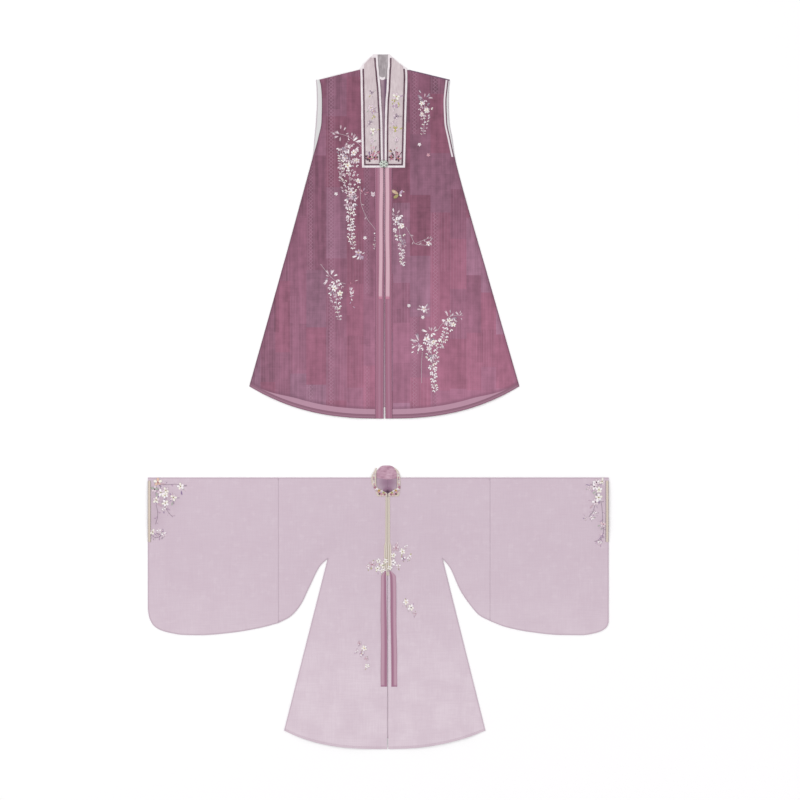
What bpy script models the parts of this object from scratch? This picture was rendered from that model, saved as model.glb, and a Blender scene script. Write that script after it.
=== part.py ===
"""A hanfu dress set laid flat: a long sleeveless over-vest above a front-opening robe.

All tables and lengths are in millimetres and are turned into metres where a mesh is made.
Each garment is measured from its own centre line (across) and from its own neck or
shoulder line (down), and is then put at its place on the surface. Left and right are as
seen from above, so left is -X. The surface is z = 0 and the back panels lie flat on it.
"""

import math
from collections import namedtuple

import bmesh
import bpy

MM = 0.001

# Walls and gaps
WALL = 1.0  # thickness of every cloth piece
GAP = 0.3  # clear space between pieces that touch

# Heights of the layers, from the surface up
BACK_TOP = WALL
FRONT_UNDER = BACK_TOP + GAP  # underside of a front that lies on the back
FRONT_TOP = FRONT_UNDER + WALL
TRIM_UNDER = FRONT_TOP + GAP  # underside of what is sewn on a vest front
TRIM_TOP = TRIM_UNDER + WALL
UPPER_UNDER = TRIM_TOP + GAP  # underside of what lies on that trim
UPPER_TOP = UPPER_UNDER + WALL

# Places of the garments on the surface
VEST_CENTRE = 22.35  # the vest's centre line
VEST_NECK = 1195.4  # its neck points, where the shoulder seams start
ROBE_CENTRE = 33.85  # the robe's centre line
ROBE_SHOULDER = -274.8  # its straight shoulder fold

# Vest sizes
VEST_COLLAR_END = 353.2  # lower end of the straight collar
VEST_COLLAR_FLAT = 95.0  # beside the centre line the fronts stay level under the collar
VEST_COLLAR_FADE = 77.0  # reaches this far below the collar
VEST_PLACKET_FLAT = 36.0  # and further down they stay level under the plackets
VEST_NECK_HALF = 86.0  # neck point to centre line
VEST_NECK_DROP = 34.0  # depth of the back neckline
BACK_SHARES = [1.0, 0.86, 0.68, 0.5, 0.35, 0.27, 0.18, 0.09]  # columns of half a back
NECK_SHARES = BACK_SHARES[4:]  # those along the neckline
PLACKET_END_GAP = 0.6  # plackets stop short of the hem edge
ARMHOLE_END = 315.0  # the armhole's lower end, where the side seam starts
FACING_LAP = 7.0  # the front lies this far over the armhole facing
BINDING_EDGE = 3.6  # front armhole edge to its white binding
BINDING_WIDTH = 6.8
COLLAR_BORDER = 8.0  # white border of the collar
COLLAR_FOLD_BORDER = 3.6  # the border along its slanting fold
PIPING_WIDTH = 5.0
VEST_TIE_LENGTH = 473.0
NECK_TRIM_WIDTH = 10.0
NECK_TRIM_ENDS = (-17.6, 8.4)
NECK_TRIM_SAG = 4.0  # it hangs in a shallow U between the collar's sides

# Robe sizes
ROBE_LENGTH = 975.0  # shoulder fold to the lowest point of the front hem
ROBE_BACK_LENGTH = 937.0
ROBE_HEM_SPLIT = 2.2  # the fronts part by twice this at the hem
UNDERARM_DOWN = 289.8
ROBE_FRONT_TOP = 3.3  # outer height of the robe's front near its centre line
SEAM_TOP = FRONT_TOP  # outer height of the front where it is sewn to the back
ROBE_NECK_HALF = 43.2
ROBE_NECK_DROP = 6.5
FOLD_STEPS = 4  # straight steps round the shoulder fold
CUFF_OPENING = 230.0  # below it the sleeve's outer edge is sewn shut
CUFF_COLUMNS = 3  # the trim lies on the last columns of the sleeve
CUFF_TOP = 4.8  # outer height of the front at the cuff opening
CUFF_FADE = 55.0  # distance over which the opening rises and falls

# Loft: how the upper layer rises between its seams
LOFT = 2.2
LOFT_REACH = 70.0  # distance from a seam at which it is reached
SHOULDER_REACH = 60.0  # the same from a shoulder
ROBE_EXTRA_LOFT = 1.0
CENTRE_FLAT = 45.0  # beside the centre line the robe's front stays level
CENTRE_BLEND = 60.0
FOLD_FADE = 120.0  # length over which a soft ridge or trough starts and ends
FOLD_END_SHARE = 0.6  # its far end, near a hem, keeps this share

Row = namedtuple("Row", "inner inner_down outer outer_down bow")
Band = namedtuple("Band", "down left_outer left_inner right_inner right_outer")
Fold = namedtuple("Fold", "across down end_across end_down width height")
Edge = namedtuple("Edge", "across down")

# A row runs from a front's inner edge to its outer edge. Bow bends it down towards the
# centre, as the hem is bent: 1 is straight.
VEST_FRONT_LEFT = [
    Row(27.0, -15.1, 234.0, 36.6, 1.0),
    Row(20.0, 44.6, 228.4, 62.0, 1.0),
    Row(14.4, 109.4, 225.0, 116.6, 1.0),
    Row(9.2, 188.6, 226.8, 188.6, 1.0),
    Row(7.6, 260.6, 239.4, 249.8, 1.0),
    Row(6.0, 325.4, 257.4, 314.6, 1.0),
    Row(2.2, 790.0, 370.4, 726.8, 1.8),
    Row(3.2, 1256.4, 486.6, 1140.0, 2.5),
]
VEST_FRONT_RIGHT = [
    Row(14.0, -15.1, 230.4, 40.0, 1.0),
    Row(11.0, 44.6, 227.2, 66.2, 1.0),
    Row(5.4, 109.4, 222.8, 116.6, 1.0),
    Row(2.6, 188.6, 225.4, 188.6, 1.0),
    Row(1.6, 260.6, 237.2, 249.8, 1.0),
    Row(1.8, 325.4, 251.6, 314.6, 1.0),
    Row(1.4, 790.0, 366.6, 726.8, 1.8),
    Row(3.2, 1256.4, 485.4, 1140.0, 2.5),
]
# The back's rows run from its left edge to its right edge
BackRow = namedtuple("BackRow", "left left_down right right_down centre_down bow")
VEST_BACK = [
    BackRow(246.6, 39.0, 235.4, 40.0, 34.0, 1.0),
    BackRow(244.0, 66.2, 232.0, 66.2, 64.0, 2.0),
    BackRow(243.0, 116.6, 230.8, 116.6, 116.6, 2.0),
    BackRow(246.6, 188.6, 233.3, 188.6, 188.6, 2.0),
    BackRow(252.0, 249.8, 244.0, 249.8, 249.8, 2.0),
    BackRow(258.4, 314.6, 252.8, 314.6, 314.6, 2.0),
    BackRow(371.2, 726.8, 367.4, 726.8, 764.6, 1.7),
    BackRow(486.6, 1140.0, 485.4, 1140.0, 1214.6, 1.7),
]
# Edges of the vest's collar, which narrows to a point over the shoulders
VEST_COLLAR = [
    Band(-54.4, 39.0, 24.8, 12.6, 17.6),
    Band(-41.8, 54.0, 24.0, 12.2, 32.0),
    Band(-27.4, 68.0, 23.2, 11.9, 49.0),
    Band(-13.0, 81.5, 22.7, 11.9, 66.0),
    Band(-2.0, 87.0, 21.0, 10.6, 80.5),
    Band(30.2, 86.0, 18.0, 9.0, 82.2),
    Band(73.4, 85.4, 14.0, 7.2, 81.2),
    Band(109.4, 84.6, 12.2, 4.0, 79.9),
    Band(188.6, 83.5, 7.9, 1.4, 77.8),
    Band(271.4, 82.1, 6.5, 0.6, 75.8),
    Band(353.2, 81.0, 5.0, 0.7, 73.8),
]
COLLAR_SHOULDER = 4  # row of the collar at the neck points; the rows above it slant
COLLAR_TOP_UNDER = [1.3, 1.6, 2.0, 2.6]  # its underside comes down towards its top edge

VEST_PLACKET_WIDTHS = (30.0, 25.2)  # left, right
VEST_TIE_INNER = (4.6, 2.6)  # left, right: inner edge from the centre line at the top
VEST_TIE_INNER_END = (7.8, 4.4)
VEST_TIE_WIDTHS = (12.8, 14.4)

# Front rows of the robe above the underarm; the outer end is on the underarm column
ROBE_NECK_ROWS = [
    Edge(43.2, 0.0),
    Edge(42.6, 16.0),
    Edge(40.0, 33.0),
    Edge(21.0, 46.0),
    Edge(3.2, 60.0),
    Edge(1.0, 116.0),
    Edge(1.0, 174.0),
    Edge(1.0, 232.0),
    Edge(1.0, 289.8),
]
ROBE_OUTER_DOWNS = [0.0, 14.5, 29.0, 43.5, 60.0, 116.0, 174.0, 232.0, 289.8]
ROBE_SKIRT_STEPS = 8

Half = namedtuple("Half", "side name underarm hem hem_down hem_bow cuff")
LEFT = Half(-1, "left", 215.6, 372.6, 908.6, 2.8, 862.9)
RIGHT = Half(1, "right", 197.2, 351.6, 908.6, 2.2, 795.2)

# Lower edges of the sleeves, across from the centre line and down from the shoulder fold
SLEEVE_ROOT = {
    "left": [
        Edge(215.6, 289.8),
        Edge(243.7, 317.0),
        Edge(279.7, 387.7),
        Edge(315.7, 459.7),
        Edge(351.7, 499.3),
        Edge(393.1, 521.5),
    ],
    "right": [
        Edge(197.2, 289.8),
        Edge(224.3, 322.9),
        Edge(260.3, 402.1),
        Edge(296.3, 456.1),
        Edge(332.3, 495.7),
        Edge(368.3, 514.4),
    ],
}
SLEEVE_END = {
    "left": [
        Edge(393.1, 521.5),
        Edge(459.7, 538.9),
        Edge(567.7, 556.9),
        Edge(675.7, 565.2),
        Edge(736.9, 564.1),
        Edge(783.7, 556.9),
        Edge(819.7, 546.0),
        Edge(841.0, 532.0),
        Edge(852.1, 516.0),
        Edge(859.3, 497.0),
        Edge(862.9, 470.0),
    ],
    "right": [
        Edge(368.3, 514.4),
        Edge(422.3, 535.3),
        Edge(512.3, 553.8),
        Edge(620.3, 564.5),
        Edge(700.0, 565.2),
        Edge(746.3, 558.0),
        Edge(769.0, 550.5),
        Edge(784.4, 540.0),
        Edge(791.6, 530.5),
        Edge(795.2, 518.0),
    ],
}

# Edges of the robe's stand collar: over the shoulder, down the neck and along the V
ROBE_COLLAR = [
    Band(-36.0, 42.5, 40.0, 23.4, 26.4),
    Band(-21.6, 50.0, 40.7, 32.0, 39.4),
    Band(0.0, 59.0, 41.4, 33.5, 45.0),
    Band(18.0, 58.0, 41.4, 33.5, 45.7),
    Band(32.4, 51.1, 38.5, 34.6, 45.4),
    Band(45.0, 44.6, 19.8, 19.4, 44.3),
    Band(57.6, 41.4, 1.1, 1.8, 42.8),
    Band(66.0, 36.0, 1.1, 1.8, 38.9),
]
ROBE_COLLAR_UNDER = [1.3, 2.0]  # its underside comes down towards its top edge
ROBE_COLLAR_TOP = 45.0  # height of the collar's back above the shoulder fold
ROBE_COLLAR_ARCH = 0.62  # share of that height by which it drops at its ends
ROBE_COLLAR_BACK_LEFT = 42.4
ROBE_COLLAR_BACK_RIGHT = 36.0

Strip = namedtuple("Strip", "down inner outer")
ROBE_PLACKET = [
    Strip(66.6, 0.5, 7.6),
    Strip(230.0, 0.5, 8.4),
    Strip(244.0, 0.5, 12.2),
    Strip(320.0, 0.5, 13.2),
    Strip(331.0, 0.5, 4.8),
    Strip(351.0, 0.5, 5.4),
]
ROBE_TIES = {
    "left": [
        Strip(334.0, 6.6, 11.0),
        Strip(356.0, 5.6, 24.0),
        Strip(560.0, 2.4, 24.8),
        Strip(750.6, 1.6, 24.8),
    ],
    "right": [
        Strip(334.0, 6.6, 11.4),
        Strip(356.0, 8.4, 29.4),
        Strip(560.0, 11.4, 32.0),
        Strip(750.6, 13.6, 34.4),
    ],
}

# The clasp at the lower end of the vest's collar
CLASP_ACROSS = -2.6
CLASP_DOWN = 340.0
CLASP_HALF_WIDTH = 16.8
CLASP_HALF_HEIGHT = 12.8
CLASP_THICKNESS = 4.0
CLASP_PETALS = 8
CLASP_PETAL_DEPTH = 0.13
CLASP_SIDES = 64
CLASP_BEVEL = 1.0

# Soft ridges and troughs of the upper layers: from one end to the other
VEST_FOLDS = [
    Fold(-120.0, 260.0, -230.0, 1010.0, 46.0, 1.9),
    Fold(-205.0, 420.0, -350.0, 1060.0, 40.0, -1.3),
    Fold(-70.0, 560.0, -105.0, 1230.0, 38.0, 1.5),
    Fold(95.0, 330.0, 160.0, 1060.0, 44.0, 1.7),
    Fold(190.0, 380.0, 310.0, 1090.0, 48.0, -1.4),
    Fold(250.0, 560.0, 405.0, 1120.0, 36.0, 1.6),
    Fold(-210.0, 60.0, -150.0, 290.0, 40.0, 1.1),
    Fold(150.0, 50.0, 205.0, 330.0, 42.0, -0.9),
]
ROBE_FOLDS = [
    Fold(-110.0, 330.0, -170.0, 930.0, 42.0, 1.8),
    Fold(-190.0, 420.0, -285.0, 900.0, 38.0, -1.2),
    Fold(105.0, 300.0, 150.0, 920.0, 44.0, 1.6),
    Fold(185.0, 430.0, 275.0, 905.0, 36.0, 1.4),
    Fold(-205.0, 110.0, -330.0, 430.0, 46.0, 1.5),
    Fold(190.0, 90.0, 300.0, 400.0, 44.0, -1.2),
    Fold(-470.0, 60.0, -560.0, 520.0, 52.0, 1.7),
    Fold(-640.0, 150.0, -720.0, 540.0, 48.0, -1.3),
    Fold(-790.0, 60.0, -800.0, 430.0, 40.0, 1.4),
    Fold(450.0, 120.0, 500.0, 530.0, 46.0, 1.5),
    Fold(560.0, 40.0, 640.0, 500.0, 54.0, -1.4),
    Fold(720.0, 130.0, 745.0, 480.0, 42.0, 1.6),
]

# name: (red, green, blue, roughness, metallic), linear colour
COLOURS = {
    "plum": (0.279, 0.130, 0.180, 0.62, 0.0),
    "plum_dark": (0.105, 0.050, 0.072, 0.6, 0.0),
    "plum_light": (0.392, 0.198, 0.258, 0.62, 0.0),
    "white": (0.855, 0.787, 0.823, 0.7, 0.0),
    "grey_silk": (0.386, 0.347, 0.361, 0.5, 0.0),
    "pale_pink": (0.651, 0.539, 0.558, 0.6, 0.0),
    "pink_ribbon": (0.631, 0.440, 0.500, 0.45, 0.0),
    "pale_metal": (0.62, 0.64, 0.60, 0.35, 0.6),
    "lilac": (0.665, 0.546, 0.631, 0.6, 0.0),
    "mauve": (0.479, 0.301, 0.381, 0.45, 0.0),
    "mauve_inside": (0.503, 0.319, 0.407, 0.55, 0.0),
    "cream": (0.686, 0.604, 0.479, 0.5, 0.0),
}


def clear_scene():
    for obj in list(bpy.data.objects):
        bpy.data.objects.remove(obj, do_unlink=True)


def make_collection(name):
    collection = bpy.data.collections.new(name)
    bpy.context.scene.collection.children.link(collection)
    return collection


def make_material(name, colour):
    red, green, blue, roughness, metallic = COLOURS[colour]
    material = bpy.data.materials.new(name)
    material.use_nodes = True
    shader = material.node_tree.nodes["Principled BSDF"]
    shader.inputs["Base Color"].default_value = (red, green, blue, 1.0)
    shader.inputs["Roughness"].default_value = roughness
    shader.inputs["Metallic"].default_value = metallic
    return material


def smooth_step(value):
    value = min(1.0, max(0.0, value))
    return value * value * (3.0 - 2.0 * value)


def mix(start, end, share):
    return start + (end - start) * share


def mix_rows(first, second, share):
    """A row between two rows of a table, with each column mixed."""
    return type(first)(*(mix(a, b, share) for a, b in zip(first, second)))


def refine(rows, steps):
    """The rows of a table with steps[i] equal steps between rows i and i + 1."""
    fine = [rows[0]]
    for first, second, count in zip(rows, rows[1:], steps):
        fine += [mix_rows(first, second, (i + 1) / count) for i in range(count)]
    return fine


def distance_to_path(across, down, path):
    """Distance from a point to the nearest stretch of a path of edge points."""
    nearest = math.inf
    for start, end in zip(path, path[1:]):
        run = (end.across - start.across, end.down - start.down)
        length_squared = run[0] ** 2 + run[1] ** 2 or 1.0
        share = ((across - start.across) * run[0] + (down - start.down) * run[1]) / length_squared
        share = min(1.0, max(0.0, share))
        gap_across = across - start.across - run[0] * share
        gap_down = down - start.down - run[1] * share
        nearest = min(nearest, math.hypot(gap_across, gap_down))
    return nearest


def fold_relief(across, down, folds):
    """How far the soft ridges and troughs lift or lower a point of the upper layer."""
    relief = 0.0
    for fold in folds:
        run = (fold.end_across - fold.across, fold.end_down - fold.down)
        length = math.hypot(*run)
        along = ((across - fold.across) * run[0] + (down - fold.down) * run[1]) / length
        beside = ((across - fold.across) * run[1] - (down - fold.down) * run[0]) / length
        fade = smooth_step(along / FOLD_FADE)
        fade *= smooth_step((length - along) / FOLD_FADE + FOLD_END_SHARE)
        relief += fold.height * fade * math.exp(-((beside / fold.width) ** 2))
    return relief


def add_sheet(name, colour, grids, to_world, outer_surface=False):
    """A cloth piece from grids of (across, down, height) points, given its thickness.

    Grids that share an edge are joined along it. The points are the underside of the
    wall, or with outer_surface the side that shows, and the wall grows inwards from it.
    """
    mesh = bpy.data.meshes.new(name)
    bm = bmesh.new()
    for grid in grids:
        rows = [[bm.verts.new(to_world(*point)) for point in row] for row in grid]
        for upper, lower in zip(rows, rows[1:]):
            for i in range(len(upper) - 1):
                bm.faces.new((upper[i], lower[i], lower[i + 1], upper[i + 1]))
    bmesh.ops.remove_doubles(bm, verts=bm.verts[:], dist=0.00001)
    bmesh.ops.recalc_face_normals(bm, faces=bm.faces[:])
    highest = max(bm.faces, key=lambda face: face.calc_center_median().z + abs(face.normal.z))
    if highest.normal.z < 0:
        bmesh.ops.reverse_faces(bm, faces=bm.faces[:])
    bm.to_mesh(mesh)
    bm.free()
    obj = bpy.data.objects.new(name, mesh)
    SET.objects.link(obj)
    wall = obj.modifiers.new("Cloth wall", "SOLIDIFY")
    wall.thickness = WALL * MM
    wall.offset = -1.0 if outer_surface else 1.0
    wall.use_even_offset = True
    mesh.materials.append(make_material(name, colour))
    return obj


def on_vest(side):
    """Places points measured outwards from the vest's centre line."""

    def to_world(across, down, height):
        return (
            (VEST_CENTRE + side * across) * MM,
            (VEST_NECK - down) * MM,
            height * MM,
        )

    return to_world


def on_robe(side):
    """Places points measured outwards from the robe's centre line."""

    def to_world(across, down, height):
        return (
            (ROBE_CENTRE + side * across) * MM,
            (ROBE_SHOULDER - down) * MM,
            height * MM,
        )

    return to_world


def vest_front_rows(table):
    return refine(table, [1, 1, 2, 2, 2, 5, 6])


def vest_front_lift(row):
    """Beside the armhole a front lies on the facing, and below it on the back."""
    beside_facing = row.outer_down < ARMHOLE_END
    return FRONT_UNDER + (WALL + GAP if beside_facing else 0.0)


def add_vest_front(side, name, table):
    """One front: rows from the neck and centre edge out to the armhole and side seam."""
    columns = [0.0, 0.1, 0.22, 0.36, 0.5, 0.63, 0.76, 0.88, 1.0]
    grid = []
    for row in vest_front_rows(table):
        lift = vest_front_lift(row)
        under_collar = row.inner_down < VEST_COLLAR_END + VEST_COLLAR_FADE
        level = VEST_COLLAR_FLAT if under_collar else VEST_PLACKET_FLAT
        line = []
        for share in columns:
            across = mix(row.inner, row.outer, share)
            down = mix(row.inner_down, row.outer_down, share**row.bow)
            rise = smooth_step((across - level) / CENTRE_BLEND)
            rise *= smooth_step((row.outer - across - BINDING_EDGE - BINDING_WIDTH) / LOFT_REACH)
            rise *= smooth_step(down / SHOULDER_REACH)
            height = mix(FRONT_UNDER, lift, smooth_step((across - level) / CENTRE_BLEND))
            height += rise * (LOFT + fold_relief(side * across, down, VEST_FOLDS))
            line.append((across, down, height))
        grid.append(line)
    add_sheet(f"vest_front_{name}", "plum", [grid], on_vest(side))


def vest_back_top(across):
    """The back's upper edge: the curve of the neck, then the slope of a shoulder."""
    distance = abs(across)
    if distance < VEST_NECK_HALF:
        return VEST_NECK_DROP * (1.0 - (distance / VEST_NECK_HALF) ** 2)
    tip = VEST_BACK[0]
    return (distance - VEST_NECK_HALF) / (tip.left - VEST_NECK_HALF) * tip.left_down


def add_vest_back():
    """One flat panel. Its first row follows the neck and the shoulders."""
    columns = [-share for share in BACK_SHARES] + [0.0] + list(reversed(BACK_SHARES))
    grid = []
    for i, row in enumerate(refine(VEST_BACK, [1, 1, 2, 1, 1, 4, 5])):
        line = []
        for share in columns:
            edge, edge_down = (row.left, row.left_down) if share < 0 else (row.right, row.right_down)
            across = share * edge
            down = mix(row.centre_down, edge_down, abs(share) ** row.bow)
            if i == 0:
                down = vest_back_top(across)
            line.append((across, down, 0.0))
        grid.append(line)
    add_sheet("vest_back", "plum", [grid], on_vest(1))


def add_armhole_trim(side, name, table, back_edges):
    """The facing of the back armhole, and on the right the white binding of the front."""
    rows = [row for row in vest_front_rows(table) if row.outer_down < ARMHOLE_END]
    facing = []
    for row in rows:
        edge = interpolate(back_edges, row.outer_down) - 0.2
        inner = row.outer - FACING_LAP
        facing.append(
            [(mix(inner, edge, share), row.outer_down, FRONT_UNDER) for share in (0.0, 0.5, 1.0)]
        )
    add_sheet(f"vest_armhole_facing_{name}", "grey_silk", [facing], on_vest(side))
    if side < 0:
        return
    binding = []
    for row in rows:
        outer = row.outer - BINDING_EDGE
        slope = (row.inner_down - row.outer_down) / (row.outer - row.inner)
        under = vest_front_lift(row) + WALL + GAP
        line = []
        for across in (outer - BINDING_WIDTH, outer):
            line.append((across, row.outer_down + (row.outer - across) * slope, under))
        binding.append(line)
    add_sheet(f"vest_armhole_binding_{name}", "white", [binding], on_vest(side))


def interpolate(pairs, position):
    """A value read from (position, value) pairs, straight between them."""
    for (start, first), (end, second) in zip(pairs, pairs[1:]):
        if position <= end:
            return mix(first, second, (position - start) / (end - start))
    return pairs[-1][1]


def collar_under(index):
    if index < len(COLLAR_TOP_UNDER):
        return COLLAR_TOP_UNDER[index]
    return TRIM_UNDER


def add_vest_collar(side, name):
    """The white base band of one side, with the piping and the pink panel that lie on it."""
    place = on_vest(side)
    inset = COLLAR_BORDER + PIPING_WIDTH
    end = VEST_COLLAR_END
    edges = []
    for i, band in enumerate(VEST_COLLAR):
        inner, outer = getattr(band, f"{name}_inner"), getattr(band, f"{name}_outer")
        edges.append((band.down, inner, outer, collar_under(i)))

    base = [[(inner, down, under), (outer, down, under)] for down, inner, outer, under in edges]
    add_sheet(f"vest_collar_{name}", "white", [base], place)

    straight_outer = edges[COLLAR_SHOULDER][2] - inset - GAP
    panel = []
    for i, (down, inner, outer, under) in enumerate(edges[1:], start=1):
        down = min(down, end - inset - GAP)
        panel_outer = outer - inset - GAP
        if i < COLLAR_SHOULDER:
            panel_outer = min(outer - COLLAR_FOLD_BORDER, straight_outer)
        height = under + WALL + GAP
        panel.append([(inner + inset + GAP, down, height), (panel_outer, down, height)])
    add_sheet(f"vest_collar_panel_{name}", "pale_pink", [panel], place)

    def station(across, direction, down, height):
        """The two edges of the piping: on the white border and on the panel's side."""
        return [(across + direction * reach, down, height) for reach in (COLLAR_BORDER, inset)]

    piping = []
    for down, _inner, outer, _under in edges[COLLAR_SHOULDER:-1]:
        piping.append(station(outer, -1.0, down, UPPER_UNDER))
    for across, direction in ((edges[-1][2], -1.0), (edges[-1][1], 1.0)):
        corner = station(across, direction, end, UPPER_UNDER)
        depths = (end - COLLAR_BORDER, end - inset)
        piping.append([(point[0], depth, point[2]) for point, depth in zip(corner, depths)])
    for down, inner, _outer, under in reversed(edges[1:-1]):
        piping.append(station(inner, 1.0, down, under + WALL + GAP))
    add_sheet(f"vest_collar_piping_{name}", "plum_dark", [piping], place)


def add_vest_neck():
    """The collar's back, lining side up, and the white trim over its seam with the back."""
    top, left, right = VEST_COLLAR[0].down, VEST_COLLAR[0].left_outer, VEST_COLLAR[0].right_outer
    seam = [-share * VEST_BACK[0].left for share in NECK_SHARES] + [0.0]
    seam += [share * VEST_BACK[0].right for share in reversed(NECK_SHARES)]
    lower = [(across, vest_back_top(across) - 2.0 * GAP, 0.0) for across in seam]
    last = len(seam) - 1
    upper = [(mix(-left, right, i / last), top, 0.0) for i in range(last + 1)]
    middle = [tuple(mix(a, b, 0.5) for a, b in zip(p, q)) for p, q in zip(upper, lower)]
    add_sheet("vest_collar_back", "grey_silk", [[upper, middle, lower]], on_vest(1))

    trim = []
    for i in range(7):
        share = i / 6.0
        across = mix(*NECK_TRIM_ENDS, share)
        sag = NECK_TRIM_SAG * (1.0 - (2.0 * share - 1.0) ** 2)
        start = vest_back_top(across) - NECK_TRIM_WIDTH + sag
        trim.append([(across, start, FRONT_UNDER), (across, start + NECK_TRIM_WIDTH, FRONT_UNDER)])
    add_sheet("vest_neck_trim", "white", [trim], on_vest(1))


def add_vest_placket(side, name, table, width):
    """A strip down the front edge, from the collar's end to the hem."""
    top = VEST_COLLAR_END + GAP
    rows = [row for row in vest_front_rows(table) if row.inner_down > top]
    start = interpolate([(row.inner_down, row.inner) for row in table], top)
    grid = [[(start, top, TRIM_UNDER), (start + width, top, TRIM_UNDER)]]
    for row in rows:
        line = []
        for share in (0.0, 1.0):
            across = row.inner + width * share
            reach = (across - row.inner) / (row.outer - row.inner)
            down = mix(row.inner_down, row.outer_down, reach**row.bow)
            line.append((across, down, TRIM_UNDER))
        grid.append(line)
    grid[-1] = [(across, down - PLACKET_END_GAP, under) for across, down, under in grid[-1]]
    add_sheet(f"vest_placket_{name}", "plum_light", [grid], on_vest(side))


def add_vest_tie(side, name, index):
    """A flat ribbon that hangs from the clasp and lies on the placket."""
    top = VEST_COLLAR_END + GAP
    width = VEST_TIE_WIDTHS[index]
    grid = []
    for i in range(9):
        inner = mix(VEST_TIE_INNER[index], VEST_TIE_INNER_END[index], i / 8.0)
        down = top + VEST_TIE_LENGTH * i / 8.0
        grid.append([(inner, down, UPPER_UNDER), (inner + width, down, UPPER_UNDER)])
    add_sheet(f"vest_tie_{name}", "pink_ribbon", [grid], on_vest(side))


def add_clasp():
    """A round clasp with petals, fastened over both collar ends."""
    bm = bmesh.new()
    bmesh.ops.create_circle(bm, cap_ends=True, segments=CLASP_SIDES, radius=1.0)
    for vert in bm.verts:
        angle = math.atan2(vert.co.y, vert.co.x)
        reach = 1.0 - CLASP_PETAL_DEPTH * (0.5 - 0.5 * math.cos(CLASP_PETALS * angle))
        vert.co.x *= reach * CLASP_HALF_WIDTH * MM
        vert.co.y *= reach * CLASP_HALF_HEIGHT * MM
    mesh = bpy.data.meshes.new("vest_clasp")
    bm.to_mesh(mesh)
    bm.free()
    clasp = bpy.data.objects.new("vest_clasp", mesh)
    SET.objects.link(clasp)
    clasp.location = on_vest(1)(CLASP_ACROSS, CLASP_DOWN, UPPER_TOP + GAP)
    body = clasp.modifiers.new("Thickness", "SOLIDIFY")
    body.thickness = CLASP_THICKNESS * MM
    body.offset = 1.0
    edge = clasp.modifiers.new("Rounded edge", "BEVEL")
    edge.width = CLASP_BEVEL * MM
    edge.segments = 2
    edge.limit_method = "ANGLE"
    mesh.materials.append(make_material("vest_clasp", "pale_metal"))


def robe_height(half, across, down, sewn):
    """Outer height of the robe's front: low at its seams, level beside the centre line."""
    rise = smooth_step(distance_to_path(across, down, sewn) / LOFT_REACH)
    relief = fold_relief(half.side * across, down, ROBE_FOLDS)
    lofted = SEAM_TOP + rise * (ROBE_EXTRA_LOFT + LOFT + relief)
    at_fold = min(lofted, ROBE_FRONT_TOP)
    lofted = mix(at_fold, lofted, smooth_step(down / SHOULDER_REACH))
    return mix(ROBE_FRONT_TOP, lofted, smooth_step((across - CENTRE_FLAT) / CENTRE_BLEND))


def shoulder_turn(points):
    """Rows round a fold, from the back layer up to the front layer at each column.

    The outer side is a half circle whose diameter is the front's height there.
    """
    rows = []
    for step in range(1, FOLD_STEPS):
        angle = math.pi * step / FOLD_STEPS
        row = []
        for across, down, height in points:
            radius = height / 2.0
            row.append((across, down - radius * math.sin(angle), radius - radius * math.cos(angle)))
        rows.append(row)
    return rows


def robe_body_rows(half):
    """Front rows and back rows of the body, each from the centre out to the underarm or side."""
    front = [
        Row(neck.across, neck.down, half.underarm, outer_down, 1.0)
        for neck, outer_down in zip(ROBE_NECK_ROWS, ROBE_OUTER_DOWNS)
    ]
    last = Row(ROBE_HEM_SPLIT, ROBE_LENGTH, half.hem, half.hem_down, half.hem_bow)
    skirt = [mix_rows(front[-1], last, (i + 1) / ROBE_SKIRT_STEPS) for i in range(ROBE_SKIRT_STEPS)]
    back = [front[0], Row(GAP / 2.0, ROBE_NECK_DROP, half.underarm, ROBE_OUTER_DOWNS[1], 1.0)]
    for outer_down in ROBE_OUTER_DOWNS[2:]:
        back.append(Row(GAP / 2.0, outer_down, half.underarm, outer_down, 1.0))
    end = Row(GAP / 2.0, ROBE_BACK_LENGTH, half.hem, half.hem_down, half.hem_bow)
    hem = [mix_rows(back[-1], end, (i + 1) / ROBE_SKIRT_STEPS) for i in range(ROBE_SKIRT_STEPS)]
    return front + skirt, back + hem


def add_robe_body(half):
    """One length of cloth, folded at the shoulder: body, and the sleeve's root beside it."""
    root = SLEEVE_ROOT[half.name]
    sewn = [Edge(half.hem, half.hem_down)] + root
    front_rows, back_rows = robe_body_rows(half)
    columns = [0.0, 0.12, 0.3, 0.48, 0.66, 0.83, 1.0]

    def row_points(row, height_of):
        points = []
        for share in columns:
            across = mix(row.inner, row.outer, share)
            down = mix(row.inner_down, row.outer_down, share**row.bow)
            points.append((across, down, height_of(across, down)))
        return points

    def front_height(across, down):
        return robe_height(half, across, down, sewn)

    def back_height(_across, _down):
        return 0.0

    front = [row_points(row, front_height) for row in front_rows]
    back = [row_points(row, back_height) for row in back_rows]
    turn = shoulder_turn(front[0])
    body = list(reversed(back)) + turn + front

    def root_grid(downs, height_of):
        grid = []
        for down_at_underarm in downs:
            share = down_at_underarm / downs[-1]
            row = []
            for edge in root:
                across = edge.across - (GAP / 2.0 if edge is root[-1] else 0.0)
                row.append((across, edge.down * share, height_of(across, edge.down * share)))
            grid.append(row)
        return grid

    root_front = root_grid(ROBE_OUTER_DOWNS, front_height)
    root_back = root_grid(ROBE_OUTER_DOWNS, back_height)
    root_turn = shoulder_turn(root_front[0])
    sleeve_root = list(reversed(root_back)) + root_turn + root_front
    name = f"robe_body_{half.name}"
    add_sheet(name, "lilac", [body, sleeve_root], on_robe(half.side), outer_surface=True)


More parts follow.
